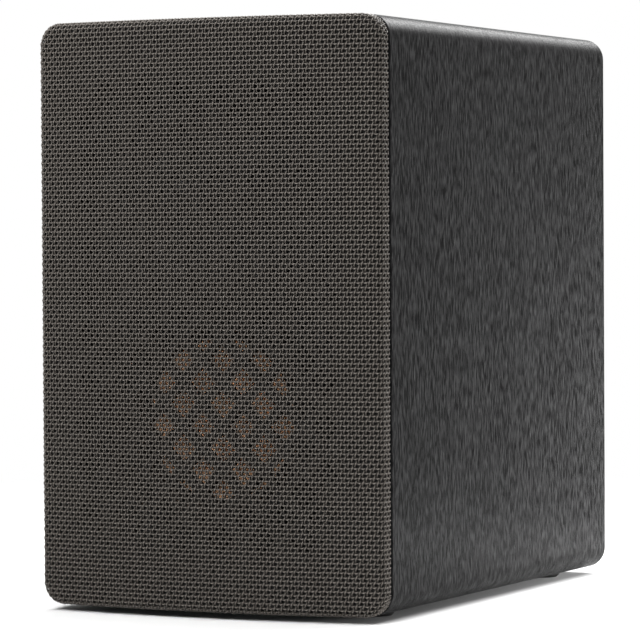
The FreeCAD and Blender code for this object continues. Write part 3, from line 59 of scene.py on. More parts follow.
turn, tilt, roll, away = np.radians(25.92), np.radians(1.411), np.radians(-0.327), 1.172
backward = Vector((np.sin(turn) * np.cos(tilt), -np.cos(turn) * np.cos(tilt), np.sin(tilt)))
level_right = Vector((np.cos(turn), np.sin(turn), 0.0))
level_up = backward.cross(level_right)
right = np.cos(roll) * level_right + np.sin(roll) * level_up
upward = np.cos(roll) * level_up - np.sin(roll) * level_right
lens = bpy.data.cameras.new("photograph")
lens.sensor_width = 36.0
lens.lens = 201.9
camera = bpy.data.objects.new("photograph", lens)
bearing = Matrix((right, upward, backward)).transposed().to_4x4()
camera.matrix_world = Matrix.Translation(aim + away * backward) @ bearing
bpy.context.scene.collection.objects.link(camera)
bpy.context.scene.camera = camera
bpy.context.scene.view_settings.view_transform = "Standard"


# Studio
# A pale round floor that keeps the soft shadow and fades into a white surround, with soft lamps: one close
# above the grille, one farther in front, one overhead, a wide one high behind the cabinet, and a weak
# strip low at the right that only lifts the shade.


class Field:
    """A socket of a material's nodes. Arithmetic on it adds Math nodes, and node() adds any other node."""

    def __init__(self, socket):
        self.socket = socket

    def node(self, kind, settings=None, inputs=None, output=0):
        """Add a node, set it up, and give its sockets values or links."""
        tree = self.socket.id_data
        made = tree.nodes.new(f"ShaderNode{kind}")
        for name, value in (settings or {}).items():
            setattr(made, name, value)
        for name, value in (inputs or {}).items():
            if isinstance(value, Field):
                tree.links.new(value.socket, made.inputs[name])
            else:
                made.inputs[name].default_value = value
        return Field(made.outputs[output])

    def math(self, operation, other=0.0, swapped=False):
        """One Math node on this field and another value."""
        return self.node("Math", {"operation": operation}, {int(swapped): self, int(not swapped): other})

    def __add__(self, other):
        return self.math("ADD", other)

    def __sub__(self, other):
        return self.math("SUBTRACT", other)

    def __rsub__(self, other):
        return self.math("SUBTRACT", other, swapped=True)

    def __mul__(self, other):
        return self.math("MULTIPLY", other)

    __radd__ = __add__
    __rmul__ = __mul__

    def stretched(self, *scales):
        """A vector times a scale along each axis."""
        return self.node("VectorMath", {"operation": "MULTIPLY"}, {0: self, 1: scales})

    def noise(self, scale, detail=2.0):
        """Cloudy noise from 0 to 1 on a vector, in cycles to the metre."""
        return self.node("TexNoise", None, {"Vector": self, "Scale": scale, "Detail": detail})

    def between(self, low, high):
        """0 below low, 1 above high, smooth between them."""
        ends = {"Value": self, "From Min": low, "From Max": high}
        return self.node("MapRange", {"interpolation_type": "SMOOTHSTEP"}, ends)

    def colours(self, low, high):
        """Mix of two colours by this field."""
        ends = {0: self, 6: (*low, 1), 7: (*high, 1)}
        return self.node("Mix", {"data_type": "RGBA"}, ends, output=2)

    def bump(self, depth):
        """Normal of a surface with this field as relief, depth in metres from 0 to 1."""
        return self.node("Bump", None, {"Height": self, "Distance": depth})

    def axis(self, name):
        """One coordinate of a vector."""
        return self.node("SeparateXYZ", None, {0: self}, output="XYZ".index(name))


def new_finish(name, **constants):
    """A material with its constant sockets set, and its object coordinates as a field."""
    material = bpy.data.materials.new(name)
    material.use_nodes = True
    shader = material.node_tree.nodes["Principled BSDF"]
    for socket, value in constants.items():
        shader.inputs[socket.replace("_", " ")].default_value = value
    return material, Field(material.node_tree.nodes.new("ShaderNodeTexCoord").outputs["Object"])


def feed(material, **fields):
    """Link fields to the shader's sockets."""
    shader = material.node_tree.nodes["Principled BSDF"]
    for socket, field in fields.items():
        material.node_tree.links.new(field.socket, shader.inputs[socket.replace("_", " ")])


def grid_faces(rows, columns):
    """Quads of a grid of points counted row by row, with its last column joined to the first."""
    row = np.arange(rows - 1)[:, None]
    column = np.arange(columns)[None]
    beside = (column + 1) % columns
    corners = (row * columns + column, row * columns + beside,
               (row + 1) * columns + beside, (row + 1) * columns + column)
    return np.stack(np.broadcast_arrays(*corners), axis=-1).reshape(-1, 4)


def new_piece(name, points, faces, caps, material, **values):
    """A smooth mesh object from arrays of points, quads and end caps, with doubled points merged.

    Each of values is kept as a point attribute of that name.
    """
    mesh = bpy.data.meshes.new(name)
    mesh.from_pydata(points.reshape(-1, 3).tolist(), [], [*faces.tolist(), *np.asarray(caps).tolist()])
    for label, value in values.items():
        mesh.attributes.new(label, "FLOAT", "POINT").data.foreach_set("value", value.ravel())
    work = bmesh.new()
    work.from_mesh(mesh)
    bmesh.ops.remove_doubles(work, verts=work.verts, dist=1e-7)
    bmesh.ops.recalc_face_normals(work, faces=work.faces)
    work.to_mesh(mesh)
    work.free()
    mesh.shade_smooth()
    mesh.materials.append(material)
    made = bpy.data.objects.new(name, mesh)
    bpy.context.scene.collection.objects.link(made)
    return made


floor_radius, floor_fade = 2.5, (0.22, 0.55)
spoke, lap = np.meshgrid(np.linspace(0, floor_radius, 24), np.linspace(0, 2 * np.pi, 96, endpoint=False),
                         indexing="ij")
floor_finish, ground = new_finish("pale_floor", Base_Color=(0.9, 0.9, 0.9, 1), Roughness=0.9)
floor = new_piece("floor", np.stack((spoke * np.cos(lap), spoke * np.sin(lap), 0 * lap), axis=-1),
                  grid_faces(*spoke.shape), (), floor_finish)
floor_tree = floor_finish.node_tree
distance = ground.node("VectorMath", {"operation": "LENGTH"}, {0: ground}, output=1)
white = ground.node("Emission", None, {"Color": (1, 1, 1, 1), "Strength": 1.0})
faded = ground.node("MixShader", None, {0: distance.between(*floor_fade), 2: white})
floor_tree.links.new(floor_tree.nodes["Principled BSDF"].outputs[0], faded.socket.node.inputs[1])
floor_tree.links.new(faded.socket, floor_tree.nodes["Material Output"].inputs["Surface"])

world = bpy.data.worlds.new("studio")
world.use_nodes = True
bpy.context.scene.world = world
backdrop = world.node_tree.nodes["Background"]
rays = Field(world.node_tree.nodes.new("ShaderNodeLightPath").outputs["Is Camera Ray"])
glossy = Field(rays.socket.node.outputs["Is Glossy Ray"])
through = Field(rays.socket.node.outputs["Is Transmission Ray"])
ambient = 0.15
shown = rays.math("MAXIMUM", glossy).math("MAXIMUM", through)
world.node_tree.links.new((shown * (1 - ambient) + ambient).socket, backdrop.inputs["Strength"])
backdrop.inputs["Color"].default_value = (1, 1, 1, 1)

for name, spot, width, height, power, mirrored in (
        ("key", (-0.10, -0.38, 0.50), 0.25, 0.25, 2.3, True),
        ("front", (0.10, -1.25, 0.80), 0.3, 0.3, 10.0, True),
        ("overhead", (0.0, 0.1, 1.3), 0.8, 0.8, 6.0, True),
        ("rear", (0.33, 1.15, 1.0), 1.2, 0.7, 38.0, True),
        ("side", (0.16, 0.14, 0.012), 0.3, 0.02, 0.85, False)):
    lamp = bpy.data.lights.new(name, "AREA")
    lamp.shape = "RECTANGLE"
    lamp.size = width
    lamp.size_y = height
    lamp.energy = power
    stand = bpy.data.objects.new(name, lamp)
    stand.location = spot
    stand.visible_glossy = mirrored
    stand.rotation_euler = (aim - Vector(spot)).to_track_quat("-Z", "Y").to_euler()
    bpy.context.scene.collection.objects.link(stand)


# Cabinet sleeve
# An extruded aluminium tube, brushed round its section and anodised nearly black.
# Short streaks run up the sides and across the top, with brighter flecks where the brush bit deeper. The sawn
# ends are plain.


def dress(material, *nodes):
    """Give CAD nodes a finish."""
    for node in nodes:
        slots = frame["nodes"][node].data.materials
        slots.clear()
        slots.append(material)


brushed, place = new_finish("brushed_sleeve", Specular_IOR_Level=0.009)
streak_scale, fleck_scale = (260, 1700, 260), (170, 1700, 170)
streaks = place.stretched(*streak_scale).noise(1.0, 3.0)
flecks = place.stretched(*fleck_scale).noise(1.0, 1.0).between(0.66, 0.80)
cloud = place.noise(30.0, 2.0)
brushed_part = streaks.between(0.36, 0.66) * 0.6 + flecks * 0.7 + cloud * 0.06
sawn = Field(place.socket.node.outputs["Normal"]).axis("Y").math("ABSOLUTE").between(0.5, 0.9)
worn = brushed_part * (1 - sawn) + sawn * 0.3
feed(brushed, Base_Color=worn.colours((0.0, 0.0, 0.0), (0.050, 0.050, 0.0505)),
     Roughness=0.36 - streaks * 0.2, Normal=(streaks + flecks).bump(0.00008))
dress(brushed, "cabinet_sleeve")

# Feet
# Four moulded rubber pads stuck into round seats under the sleeve.
# The rubber is matt, with a fine bloom.
rubber, place = new_finish("black_rubber", Specular_IOR_Level=0.3)
bloom = place.noise(900.0, 4.0)
feed(rubber, Base_Color=bloom.colours((0.012, 0.012, 0.012), (0.03, 0.03, 0.029)),
     Roughness=0.7 + bloom * 0.2, Normal=place.noise(4000.0, 2.0).bump(0.00003))
dress(rubber, "foot_front_left", "foot_front_right", "foot_rear_left", "foot_rear_right")

# Mouldings
# Rear panel, port, pegs, tweeter plate, socket bodies and small parts of the boards are moulded in black
# plastic with a spark-eroded grain, a little shinier on the crests than in the pits.
moulded, place = new_finish("moulded_black")
grain = place.noise(4200.0, 3.0)
feed(moulded, Base_Color=place.noise(60.0).colours((0.010, 0.010, 0.011), (0.019, 0.019, 0.020)),
     Roughness=0.62 - grain * 0.2, Normal=grain.bump(0.00005))
dress(moulded, "grille_pegs", "rear_panel", "port_tube", "tweeter_faceplate",
      "mains_inlet", "network_socket", "aux_jack", "button_switches", "amplifier_chip", "speaker_headers")

# Grille frame
# Moulded in one piece in matt charcoal plastic, with a lattice of diamond openings behind the cloth.
# Its grain is dull, so that the web stays in the dark.
matt, place = new_finish("matt_frame", Specular_IOR_Level=0.1)
dull = place.noise(3000.0, 3.0)
feed(matt, Base_Color=dull.colours((0.024, 0.023, 0.022), (0.032, 0.031, 0.030)), Roughness=0.8 + dull * 0.15,
     Normal=dull.bump(0.00004))
dress(matt, "grille_frame")

# Front baffle
# The plate that carries both drivers, moulded in charcoal plastic and screwed to the sleeve.
# Its grain is a little shinier than the frame's, and its colour is painted paler than the frame's, painted
# light in the shade behind the cloth.
charcoal, place = new_finish("charcoal_baffle", Specular_IOR_Level=0.3)
pits = place.noise(3800.0, 3.0)
# The base colour is painted paler than the frame's charcoal, painted light that lifts the shade behind the
# cloth and lattice.
feed(charcoal, Base_Color=place.noise(50.0).colours((0.06, 0.058, 0.056), (0.08, 0.078, 0.076)),
     Roughness=0.6 + pits * 0.2, Normal=pits.bump(0.00005))
dress(charcoal, "front_baffle")

# Seals and soft rings
# Closed-cell foam rubber cut from sheet: open pores on its faces, charcoal black.
# The rings are squeezed between the sleeve, the plates and the drivers.
foam, place = new_finish("foam_rubber", Specular_IOR_Level=0.2)
pores = place.node("TexVoronoi", None, {"Vector": place, "Scale": 2600.0})
feed(foam, Base_Color=pores.between(0.1, 0.5).colours((0.006, 0.006, 0.006), (0.03, 0.03, 0.03)),
     Roughness=0.85 + pores * 0.1, Normal=pores.bump(0.0001))
dress(foam, "baffle_seal", "panel_seal", "grille_cups", "woofer_gasket", "woofer_trim_ring")

# Woofer frame and motor
# Pressed and painted steel basket, zinc-plated plates, and a ground ferrite ring between them.
# The basket is screwed to the baffle, and the plates are glued to the ring. The inner screws share the
# paint, and the inlet's pins and the wireless module's can share the plating.
painted, place = new_finish("painted_steel")
peel = place.noise(1500.0, 2.0)
feed(painted, Base_Color=peel.colours((0.012, 0.012, 0.013), (0.028, 0.028, 0.03)),
     Roughness=0.45 - peel * 0.15, Normal=peel.bump(0.00003))
dress(painted, "woofer_basket", "baffle_screws", "woofer_screws", "tweeter_screws", "board_screws")
plated, place = new_finish("zinc_plate", Metallic=1.0)
spangle = place.stretched(400, 2500, 400).noise(1.0, 2.0)
feed(plated, Base_Color=spangle.colours((0.42, 0.43, 0.45), (0.62, 0.62, 0.6)), Roughness=0.3 + spangle * 0.2,
     Normal=spangle.bump(0.00001))
dress(plated, "woofer_top_plate", "woofer_yoke", "tweeter_top_plate", "tweeter_yoke", "inlet_pins",
      "wireless_module")
ferrite, place = new_finish("ground_ferrite")
ground_marks = place.stretched(300, 300, 3000).noise(1.0, 3.0)
feed(ferrite, Base_Color=ground_marks.colours((0.03, 0.03, 0.032), (0.075, 0.075, 0.078)),
     Roughness=0.75 - ground_marks * 0.2, Normal=ground_marks.bump(0.00003))
dress(ferrite, "woofer_magnet", "tweeter_magnet")

# Woofer cone and dust cap
# Pressed paper pulp with a copper pigment, faintly felted, so that it has a satin sheen.
# The cap is glued over the open end of the coil.
copper, place = new_finish("copper_cone", Metallic=0.1, Specular_IOR_Level=0.5)
felt = place.noise(1400.0, 5.0)
feed(copper, Base_Color=felt.colours((0.80, 0.42, 0.22), (0.95, 0.56, 0.32)), Roughness=0.35 + felt * 0.2,
     Normal=felt.bump(0.00006))
dress(copper, "woofer_cone", "woofer_dust_cap")

# Surround and spider
# The cone's two springs: a half roll of rubber glued to its rim, and a waved disc of resin-treated cloth
# round the coil. Their inner edges go with the cone and their outer edges stay on the basket.


def turned(profile, axis, sides=96):
    """A closed profile of (radius, depth) points carried round a front-to-back axis through a point."""
    angle = np.linspace(0, 2 * np.pi, sides, endpoint=False)
    radius, depth = np.asarray(profile).T[:, :, None]
    return np.stack((axis[0] + radius * np.cos(angle), axis[1] + depth + 0 * angle,
                     axis[2] + radius * np.sin(angle)), axis=-1)


def closed(profile):
    """A profile with its first point again at the end."""
    return np.concatenate((profile, profile[:1]))


def spring(name, node, profile, finish):
    """A turned piece of a profile round the middle of a CAD node's box, in place of that node, which it
    hides.
    """
    low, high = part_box(node)
    axis = ((low.x + high.x) / 2, 0.0, (low.z + high.z) / 2)
    points = turned(closed(profile), axis)
    made = new_piece(name, points, grid_faces(*points.shape[:2]), (), finish)
    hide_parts(node)
    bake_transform(made)
    places = np.empty((len(made.data.vertices), 3), np.float32)
    made.data.vertices.foreach_get("co", places.ravel())


roll_finish, place = new_finish("surround_rubber", Specular_IOR_Level=0.35)
skin = place.noise(2500.0, 3.0)
feed(roll_finish, Base_Color=skin.colours((0.009, 0.009, 0.009), (0.02, 0.02, 0.02)),
     Roughness=0.5 + skin * 0.25, Normal=skin.bump(0.00003))
surround_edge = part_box("woofer_surround")[1].x
cone_low, cone_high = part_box("woofer_cone")
sheet, cone_lip = 0.0006, 0.0022
cone_rim = cone_high.x
roll_radius = 0.0035
roll_middle = cone_rim + roll_radius
lip_front = cone_low.y - sheet
sweep = np.linspace(np.pi, 0, 33)
outside = np.stack((roll_middle + roll_radius * np.cos(sweep),
                    lip_front - roll_radius * np.sin(sweep)), axis=-1)
inside = np.stack((roll_middle + (roll_radius - sheet) * np.cos(sweep[::-1]),
                   cone_low.y - (roll_radius - sheet) * np.sin(sweep)), axis=-1)
inner_edge = cone_rim - cone_lip
spring("surround_roll", "woofer_surround", np.concatenate((
    [(inner_edge, lip_front)], outside, [(surround_edge, lip_front), (surround_edge, cone_low.y)], inside,
    [(inner_edge, cone_low.y)])), roll_finish)

treated, place = new_finish("treated_cloth")
weave = place.node("TexWave", None, {"Vector": place, "Scale": 900.0}) * 0.5 + place.noise(2000.0) * 0.5
feed(treated, Base_Color=weave.colours((0.20, 0.12, 0.05), (0.34, 0.22, 0.10)), Roughness=0.7 + weave * 0.2,
     Normal=weave.bump(0.00008))
spider_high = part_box("woofer_spider")[1]
spider_sheet, spider_lip, spider_wave, spider_waves = 0.0005, 0.0026, 0.0008, 2
press_gap = 0.00005
former_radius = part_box("woofer_coil_former")[1].x + press_gap
wave_start, wave_end = former_radius + spider_lip, spider_high.x - spider_lip
spider_radius = np.concatenate(([former_radius], np.linspace(wave_start, wave_end, 65), [spider_high.x]))
phase = np.clip((spider_radius - wave_start) / (wave_end - wave_start), 0, 1)
spider_back = spider_high.y - spider_wave - spider_wave * np.sin(2 * np.pi * spider_waves * phase)
spider_line = np.stack((spider_radius, spider_back), axis=-1)
spring("waved_spider", "woofer_spider", np.concatenate((spider_line - (0, spider_sheet), spider_line[::-1])),
       treated)

# Coils
# Enamelled copper wire laid in tight turns on an amber film former, and the pressed-board tag strips.
# Varnish holds the turns together.
wound, place = new_finish("enamelled_wire", Metallic=0.9)
turns = place.node("TexWave", {"bands_direction": "Y"}, {"Vector": place, "Scale": 800.0})
feed(wound, Base_Color=turns.colours((0.32, 0.12, 0.04), (0.75, 0.36, 0.17)), Roughness=0.35 - turns * 0.1,
     Normal=turns.bump(0.0001))
dress(wound, "woofer_winding", "tweeter_winding")
film, place = new_finish("amber_film", Coat_Weight=0.3)
mottle = place.noise(500.0, 3.0)
feed(film, Base_Color=mottle.colours((0.22, 0.10, 0.02), (0.4, 0.2, 0.05)), Roughness=0.35 + mottle * 0.2)
dress(film, "woofer_coil_former", "woofer_terminals", "tweeter_terminals")

# Tweeter dome
# Woven silk pressed to a dome and coated, black with a soft sheen.
# Its rim is glued round the edge.
silk, place = new_finish("coated_silk", Sheen_Weight=0.4)
threads = place.node("TexWave", {"bands_direction": "X"}, {"Vector": place, "Scale": 1500.0}) * (
    place.node("TexWave", {"bands_direction": "Z"}, {"Vector": place, "Scale": 1500.0}))
feed(silk, Base_Color=threads.colours((0.008, 0.008, 0.009), (0.03, 0.03, 0.032)),
     Roughness=0.55 + threads * 0.2, Normal=threads.bump(0.00003))
dress(silk, "tweeter_dome")

# Boards and what stands on them
# Green glass laminate with tracks under its mask, an extruded heatsink, a taped ferrite transformer, sleeved
# capacitors with bare aluminium ends, and a red insulated pair to each driver.
laminate, place = new_finish("green_laminate", Coat_Weight=0.4)
upright = place.stretched(1, 0, 1)
tracks = upright.node("TexVoronoi", {"feature": "DISTANCE_TO_EDGE"},
                      {"Vector": upright, "Scale": 220.0}).between(0.04, 0.07)
feed(laminate, Base_Color=tracks.colours((0.05, 0.16, 0.07), (0.012, 0.06, 0.025)),
     Roughness=0.35 + tracks * 0.1, Normal=tracks.bump(0.00003))
dress(laminate, "main_board", "power_board")
extruded, place = new_finish("extruded_aluminium", Metallic=1.0)
die_lines = place.stretched(3000, 3000, 60).noise(1.0, 2.0)
feed(extruded, Base_Color=die_lines.colours((0.5, 0.5, 0.51), (0.68, 0.68, 0.69)),
     Roughness=0.3 + die_lines * 0.25, Normal=die_lines.bump(0.00002))
dress(extruded, "amplifier_heatsink")
taped, place = new_finish("taped_core")
core_low, core_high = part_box("transformer")
tape_edge, tape_blur = 0.003, 0.0001
taped_half = (core_high.x - core_low.x) / 2 - tape_edge
from_middle = (place.axis("X") - (core_low.x + core_high.x) / 2).math("ABSOLUTE")
tape = from_middle.between(taped_half - tape_blur, taped_half)
feed(taped, Base_Color=tape.colours((0.02, 0.02, 0.021), (0.55, 0.4, 0.05)), Roughness=0.6 - tape * 0.25,
     Normal=place.noise(1800.0, 3.0).bump(0.00004))
dress(taped, "transformer")
shrunk, place = new_finish("shrunk_sleeve", Coat_Weight=0.2)
can_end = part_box("reservoir_capacitors")[0].y
fold_start, fold_end = 0.0001, 0.0003
end = 1 - place.axis("Y").between(can_end + fold_start, can_end + fold_end)
feed(shrunk, Base_Color=end.colours((0.012, 0.016, 0.05), (0.55, 0.55, 0.56)), Metallic=end,
     Roughness=0.3 + place.noise(700.0) * 0.2)
dress(shrunk, "reservoir_capacitors")
insulated, place = new_finish("insulated_pair")
twist = place.node("TexWave", {"bands_direction": "DIAGONAL"}, {"Vector": place, "Scale": 260.0})
feed(insulated, Base_Color=twist.between(0.4, 0.6).colours((0.01, 0.01, 0.01), (0.32, 0.015, 0.01)),
     Roughness=0.4 + twist * 0.15, Normal=twist.bump(0.0002))
dress(insulated, "woofer_lead", "tweeter_lead")

# Rear keys and status light
# Satin plastic keys with a sign sunk in each cap and filled with pale paint, and a clear light pipe.
# The keys slide in holes of the rear panel, and the pipe carries the status light to it.
satin, place = new_finish("satin_keys")
key_low, key_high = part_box("power_button")
key_pitch = (key_low.x + key_high.x - sum(corner.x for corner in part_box("pairing_button"))) / 2
sign_reach, sign_blur = 0.0021, 0.0001
sign_top, sign_floor = key_high.y - 0.0002, key_high.y - 0.0005
along = (place.axis("X") + 2 * key_pitch).math("FLOORED_MODULO", key_pitch) - key_pitch / 2
above = place.axis("Z") - (key_low.z + key_high.z) / 2
off_axis = (along * along + above * above).math("SQRT")
sunk = (1 - place.axis("Y").between(sign_top, sign_top + sign_blur)) * (
    1 - off_axis.between(sign_reach, sign_reach + sign_blur))
paint = sunk * place.axis("Y").between(sign_floor, sign_floor + sign_blur)
fine = place.noise(5000.0, 2.0)
feed(satin, Base_Color=paint.colours((0.022, 0.022, 0.023), (0.6, 0.6, 0.58)), Roughness=0.4 + fine * 0.15,
     Normal=fine.bump(0.00002))
dress(satin, "power_button", "pairing_button", "volume_down_button", "volume_up_button")
clear, place = new_finish("clear_pipe", Transmission_Weight=0.85, IOR=1.49)
haze = place.noise(900.0, 3.0)
feed(clear, Base_Color=haze.colours((0.86, 0.88, 0.9), (0.95, 0.96, 0.97)), Roughness=0.12 + haze * 0.15)
dress(clear, "light_pipe", "status_led")

# Network socket contacts
# Eight gold-plated spring wires that lie on the socket's floor at the mouth and slope up towards its back.
# Each is bent from round wire and held by the socket's body.


def tubes(paths, radius, sides=8):
    """Round tubes along paths in upright planes: (tubes, stations, 3) to (tubes, stations, sides, 3)."""
    run = np.gradient(paths, axis=1)
    run /= np.linalg.norm(run, axis=-1, keepdims=True)
    across = np.broadcast_to((1.0, 0.0, 0.0), run.shape)
    over = np.cross(across, run)
    angle = np.linspace(0, 2 * np.pi, sides, endpoint=False)[:, None]
    section = np.cos(angle) * across[:, :, None] + np.sin(angle) * over[:, :, None]
    return paths[:, :, None] + radius * section


def tube_faces(count, stations, sides):
    """Quads round every tube of a set, and the caps of both its ends."""
    starts = np.arange(count)[:, None, None] * stations * sides
    quads = grid_faces(stations, sides)[None] + starts
    ends = np.arange(sides) + np.array((0, (stations - 1) * sides))[:, None]
    return quads.reshape(-1, 4), (ends[None] + starts).reshape(-1, sides)


gold, place = new_finish("gold_plate", Metallic=1.0)
polish = place.noise(1500.0, 2.0)
feed(gold, Base_Color=polish.colours((0.72, 0.46, 0.13), (0.85, 0.6, 0.22)), Roughness=0.2 + polish * 0.15)
openings = frame["record"]["physics"]["openings"]
opening = next(row["box_m"] for row in openings if row["name"] == "network_plug")
contact_count, contact_pitch, contact_radius = 8, 0.00102, 0.0002
contact_rise, contact_bend, flat_share = 0.0034, 1.3, 0.15
wall_bite, mouth_inset = 0.0003, 0.0015
spread = (np.arange(contact_count) - (contact_count - 1) / 2) * contact_pitch
spread += (opening[0][0] + opening[1][0]) / 2
station = np.linspace(0, 1, 24)
rise = np.clip((station - flat_share) / (1 - flat_share), 0, 1) ** contact_bend
back_wall, mouth = opening[0][1] - wall_bite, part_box("network_socket")[1].y - mouth_inset
contact_depth = mouth + (back_wall - mouth) * station
contact_up = opening[0][2] + contact_radius + contact_rise * rise
paths = np.stack(np.broadcast_arrays(spread[:, None], contact_depth[None], contact_up[None]), axis=-1)
wires = tubes(paths, contact_radius)
contacts = new_piece("network_contacts", wires, *tube_faces(*wires.shape[:3]), gold)
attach(contacts, "cabinet")

# Rear panel screws
# Black zinc pan heads with a cross recess, and threads that hold in the sleeve's screw channels.
# One holds the panel at each corner.


def cross_screw(shank, head, head_height, length, pitch, sides=96):
    """Points of one screw along -Y from its seat at 0, as rings from the head's middle to the point.

    The head is a low dome less a cross-shaped recess that deepens towards the middle. The shank's radius
    falls in a triangle wave of its depth and angle, which is a thread.
    """
    angle = np.linspace(0, 2 * np.pi, sides, endpoint=False)
    ring = np.linspace(0, 1, 28)[:, None] * head
    x, z = ring * np.cos(angle), ring * np.sin(angle)
    wide, narrow = np.maximum(abs(x), abs(z)), np.minimum(abs(x), abs(z))
    arm, half, recess_depth = 0.62 * head, 0.13 * head, 0.55 * head_height
    edge_fall, thread_depth, point_share = 0.35 * head_height, 0.28 * pitch, 0.35
    recess = np.clip((half - narrow) / (0.25 * half), 0, 1) * np.clip((arm - wide) / (0.3 * arm), 0, 1)
    dome = head_height - edge_fall * (ring / head) ** 4
    top = np.stack((x, dome - recess_depth * recess, z), axis=-1)
    rim = np.stack((head * np.cos(angle), 0 * angle, head * np.sin(angle)), axis=-1)[None]
    down = np.linspace(0, length, 120)[:, None]
    wave = abs(((down / pitch + angle / (2 * np.pi)) % 1) * 2 - 1)
    fade = np.clip((length - down) / (2 * pitch), 0, 1)
    radius = (shank - thread_depth * wave) * (point_share + (1 - point_share) * fade)
    body = np.stack((radius * np.cos(angle), -down + 0 * angle, radius * np.sin(angle)), axis=-1)
    tip = np.stack((0 * angle, -length + 0 * angle, 0 * angle), axis=-1)[None]
    return np.concatenate((top, rim, body, tip))


black_zinc, place = new_finish("black_zinc", Metallic=0.8)
passivated = place.noise(1200.0, 3.0)
feed(black_zinc, Base_Color=passivated.colours((0.03, 0.03, 0.034), (0.09, 0.09, 0.1)),
     Roughness=0.32 + passivated * 0.2)
screw_low, screw_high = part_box("panel_screws")
shank_radius, head_radius, head_tall, thread_pitch = 0.0015, 0.0028, 0.002, 0.0006
seat = screw_high.y - head_tall
one = cross_screw(shank_radius, head_radius, head_tall, seat - screw_low.y, thread_pitch)
places = np.array([(x, seat, z) for x in (screw_low.x + head_radius, screw_high.x - head_radius)
                   for z in (screw_low.z + head_radius, screw_high.z - head_radius)])
every = places[:, None, None] + one[None]
screws = new_piece("cross_head_screws", every, tube_faces(*every.shape[:3])[0], (), black_zinc)
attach(screws, "cabinet")
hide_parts("panel_screws")

# Grille cloth
# An open plain weave of coated yarn, pulled over the frame's bowed front and its rounded edges, and turned in
# behind it. Every yarn is a closed tube that goes over one crossing yarn and under the next.
cloth_low, cloth_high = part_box("grille_cloth")
side_depth, edge_radius, corner_radius, hem_radius = 0.006, 0.0026, 0.0067, 0.0003
cloth_thickness, proud = 0.0008, 0.0004
warp_pitch, weft_pitch = 0.001134, 0.001418
yarn_width, yarn_height = 0.00060, 0.00042
lean, smile = 0.00026, 0.00012
row_wander, point_wander = 0.02, 0.025
cloth_half = np.array((cloth_high.x - cloth_low.x, cloth_high.z - cloth_low.z)) / 2
cloth_up = (cloth_low.z + cloth_high.z) / 2
bow = cloth_high.y - cloth_low.y - side_depth
bow_radius = (cloth_half[0] ** 2 + bow ** 2) / (2 * bow)
bow_axis = cloth_low.y + bow_radius
ball_radius = bow_radius - edge_radius
front_turn = np.arcsin((cloth_half[0] - edge_radius) / ball_radius)
front_half = np.array((bow_radius * front_turn, cloth_half[1] - edge_radius))
hem_arc = np.pi / 2 * hem_radius
side_wrap = edge_radius * (np.pi / 2 - front_turn) + (cloth_high.y - hem_radius) - (
    bow_axis - ball_radius * np.cos(front_turn)) + hem_arc
end_wrap = edge_radius * np.pi / 2 + (cloth_high.y - hem_radius) - (bow_axis - ball_radius) + hem_arc
flat_half = front_half + (side_wrap, end_wrap)


def on_frame(flat, height):
    """Places of the flat cloth, from its middle, carried onto the frame, raised by a height out of the weave.

    Inside the front's outline, a rectangle with round corners, the cloth lies on an upright cylinder. Past
    it, the distance to that outline runs round the edge (a ball rolled along it), along the side to the
    hem, round a smaller quarter turn and in behind the frame.
    """
    plan_radius = corner_radius - edge_radius
    past = np.maximum(abs(flat) - (front_half - plan_radius), 0)
    reach = np.linalg.norm(past, axis=-1, keepdims=True)
    outward = np.sign(flat) * past / np.maximum(reach, 1e-9)
    distance = np.maximum(reach - plan_radius, 0)
    foot = flat - outward * distance
    sine, cosine = np.sin(foot[..., :1] / bow_radius), np.cos(foot[..., :1] / bow_radius)
    none = np.zeros_like(sine)
    to_rear = np.array((0.0, 1.0, 0.0))
    facing = np.concatenate((sine, -cosine, none), axis=-1)
    wall = np.concatenate((outward[..., :1], none, outward[..., 1:]), axis=-1)
    ball = np.concatenate((ball_radius * sine, bow_axis - ball_radius * cosine, foot[..., 1:] + cloth_up),
                          axis=-1)
    whole = np.arccos(outward[..., :1] * sine)
    edge = np.minimum(distance / edge_radius, whole)
    left = distance - edge_radius * whole
    side = np.clip(left, 0, cloth_high.y - hem_radius - ball[..., 1:2])
    hem = np.clip((left - side) / hem_radius, 0, np.pi / 2)
    inward = np.maximum(left - side - hem_arc, 0)
    normal = (np.sin(whole - edge) * facing + np.sin(edge) * wall) / np.sin(whole)
    tipped = np.cos(hem) * normal + np.sin(hem) * to_rear
    return (ball + (edge_radius - hem_radius * (1 - np.cos(hem)) - inward) * normal
            + (side + hem_radius * np.sin(hem)) * to_rear + height[..., None] * tipped)


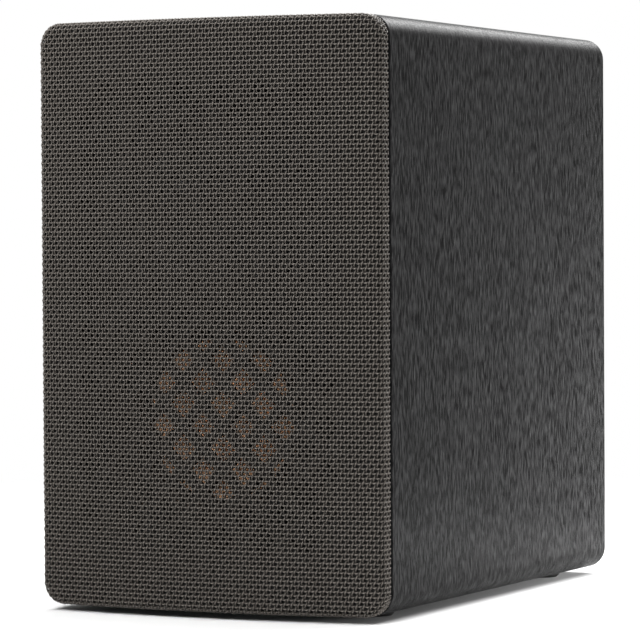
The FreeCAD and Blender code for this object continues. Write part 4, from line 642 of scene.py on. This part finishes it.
def yarns(name, along, pitch, crossing_pitch, drift, finish):
    """Every yarn of one direction (along 0 across, 1 up), each a tube of three lines joined round.

    Stations lie at the crossings and halfway between. A yarn is high where it goes over and low where it
    goes under. drift moves it sideways: by its first item before and after each crown, opposite ways, and
    by its second item at the crowns.
    """
    count = int(2 * flat_half[1 - along] / pitch)
    crossings = int(2 * flat_half[along] / crossing_pitch)
    yarn = np.arange(count)[:, None]
    station = np.arange(2 * crossings + 1)[None]
    over = np.where((yarn + station // 2 + along) % 2 == 0, 1.0, -1.0)
    at_crossing = station % 2 == 1
    lift = np.where(at_crossing, over, 0.0)
    sway = np.where(at_crossing, -drift[1] * over, -drift[0] * over)
    chance = np.random.default_rng(5 + along)
    wander = chance.normal(0, row_wander * pitch, (count, 1))
    wander = wander + chance.normal(0, point_wander * pitch, (count, station.size))
    middle = (yarn - (count - 1) / 2) * pitch + sway + wander
    reach = (station / 2 - crossings / 2) * crossing_pitch + 0 * middle
    section_side = np.array((-0.5, 0.0, 0.5)) * yarn_width
    section_top = np.array((0.0, 1.0, 0.0)) * yarn_height
    base = (lift - 1) / 2 * (cloth_thickness - yarn_height) - yarn_height + proud
    flat = np.stack((reach[..., None] + 0 * section_side, middle[..., None] + section_side), axis=-1)
    flat = flat if along == 0 else flat[..., ::-1]
    points = on_frame(flat, base[..., None] + section_top)
    # crown runs from 0 in the dips to 1 on the crowns, and is kept to paint highlight and shade into the
    # yarn's colour.
    crown = ((lift[..., None] + 1) / 2) ** 2 * np.array((0.0, 1.0, 0.0))
    return new_piece(name, points, *tube_faces(*points.shape[:3]), finish, crown=crown)


coated, place = new_finish("coated_yarn", Specular_IOR_Level=0.12, Coat_Roughness=0.35)
fleck = place.noise(700.0, 3.0)
fibre = place.noise(9000.0, 2.0)
crown = place.node("Attribute", {"attribute_name": "crown"}, output=2)
# The base colour is painted pale on the crowns and dark in the dips, a painted highlight and painted shade,
# with random flecks and fibre in the pale.
crown_highlight_and_dip_shade = crown * (0.75 + fleck * 0.3 + fibre * 0.2)
feed(coated, Base_Color=crown_highlight_and_dip_shade.colours((0.034, 0.030, 0.026), (0.185, 0.166, 0.148)),
     Roughness=0.38 + fibre * 0.2, Coat_Weight=crown * 0.4, Normal=fibre.bump(0.00002))
wefts = yarns("cloth_wefts", 0, weft_pitch, warp_pitch, (0.0, smile), coated)
warps = yarns("cloth_warps", 1, warp_pitch, weft_pitch, (lean, 0.0), coated)
for cloth in (wefts, warps):
    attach(cloth, "cabinet")
    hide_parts("grille_cloth")
tuple(2 * flat_half)
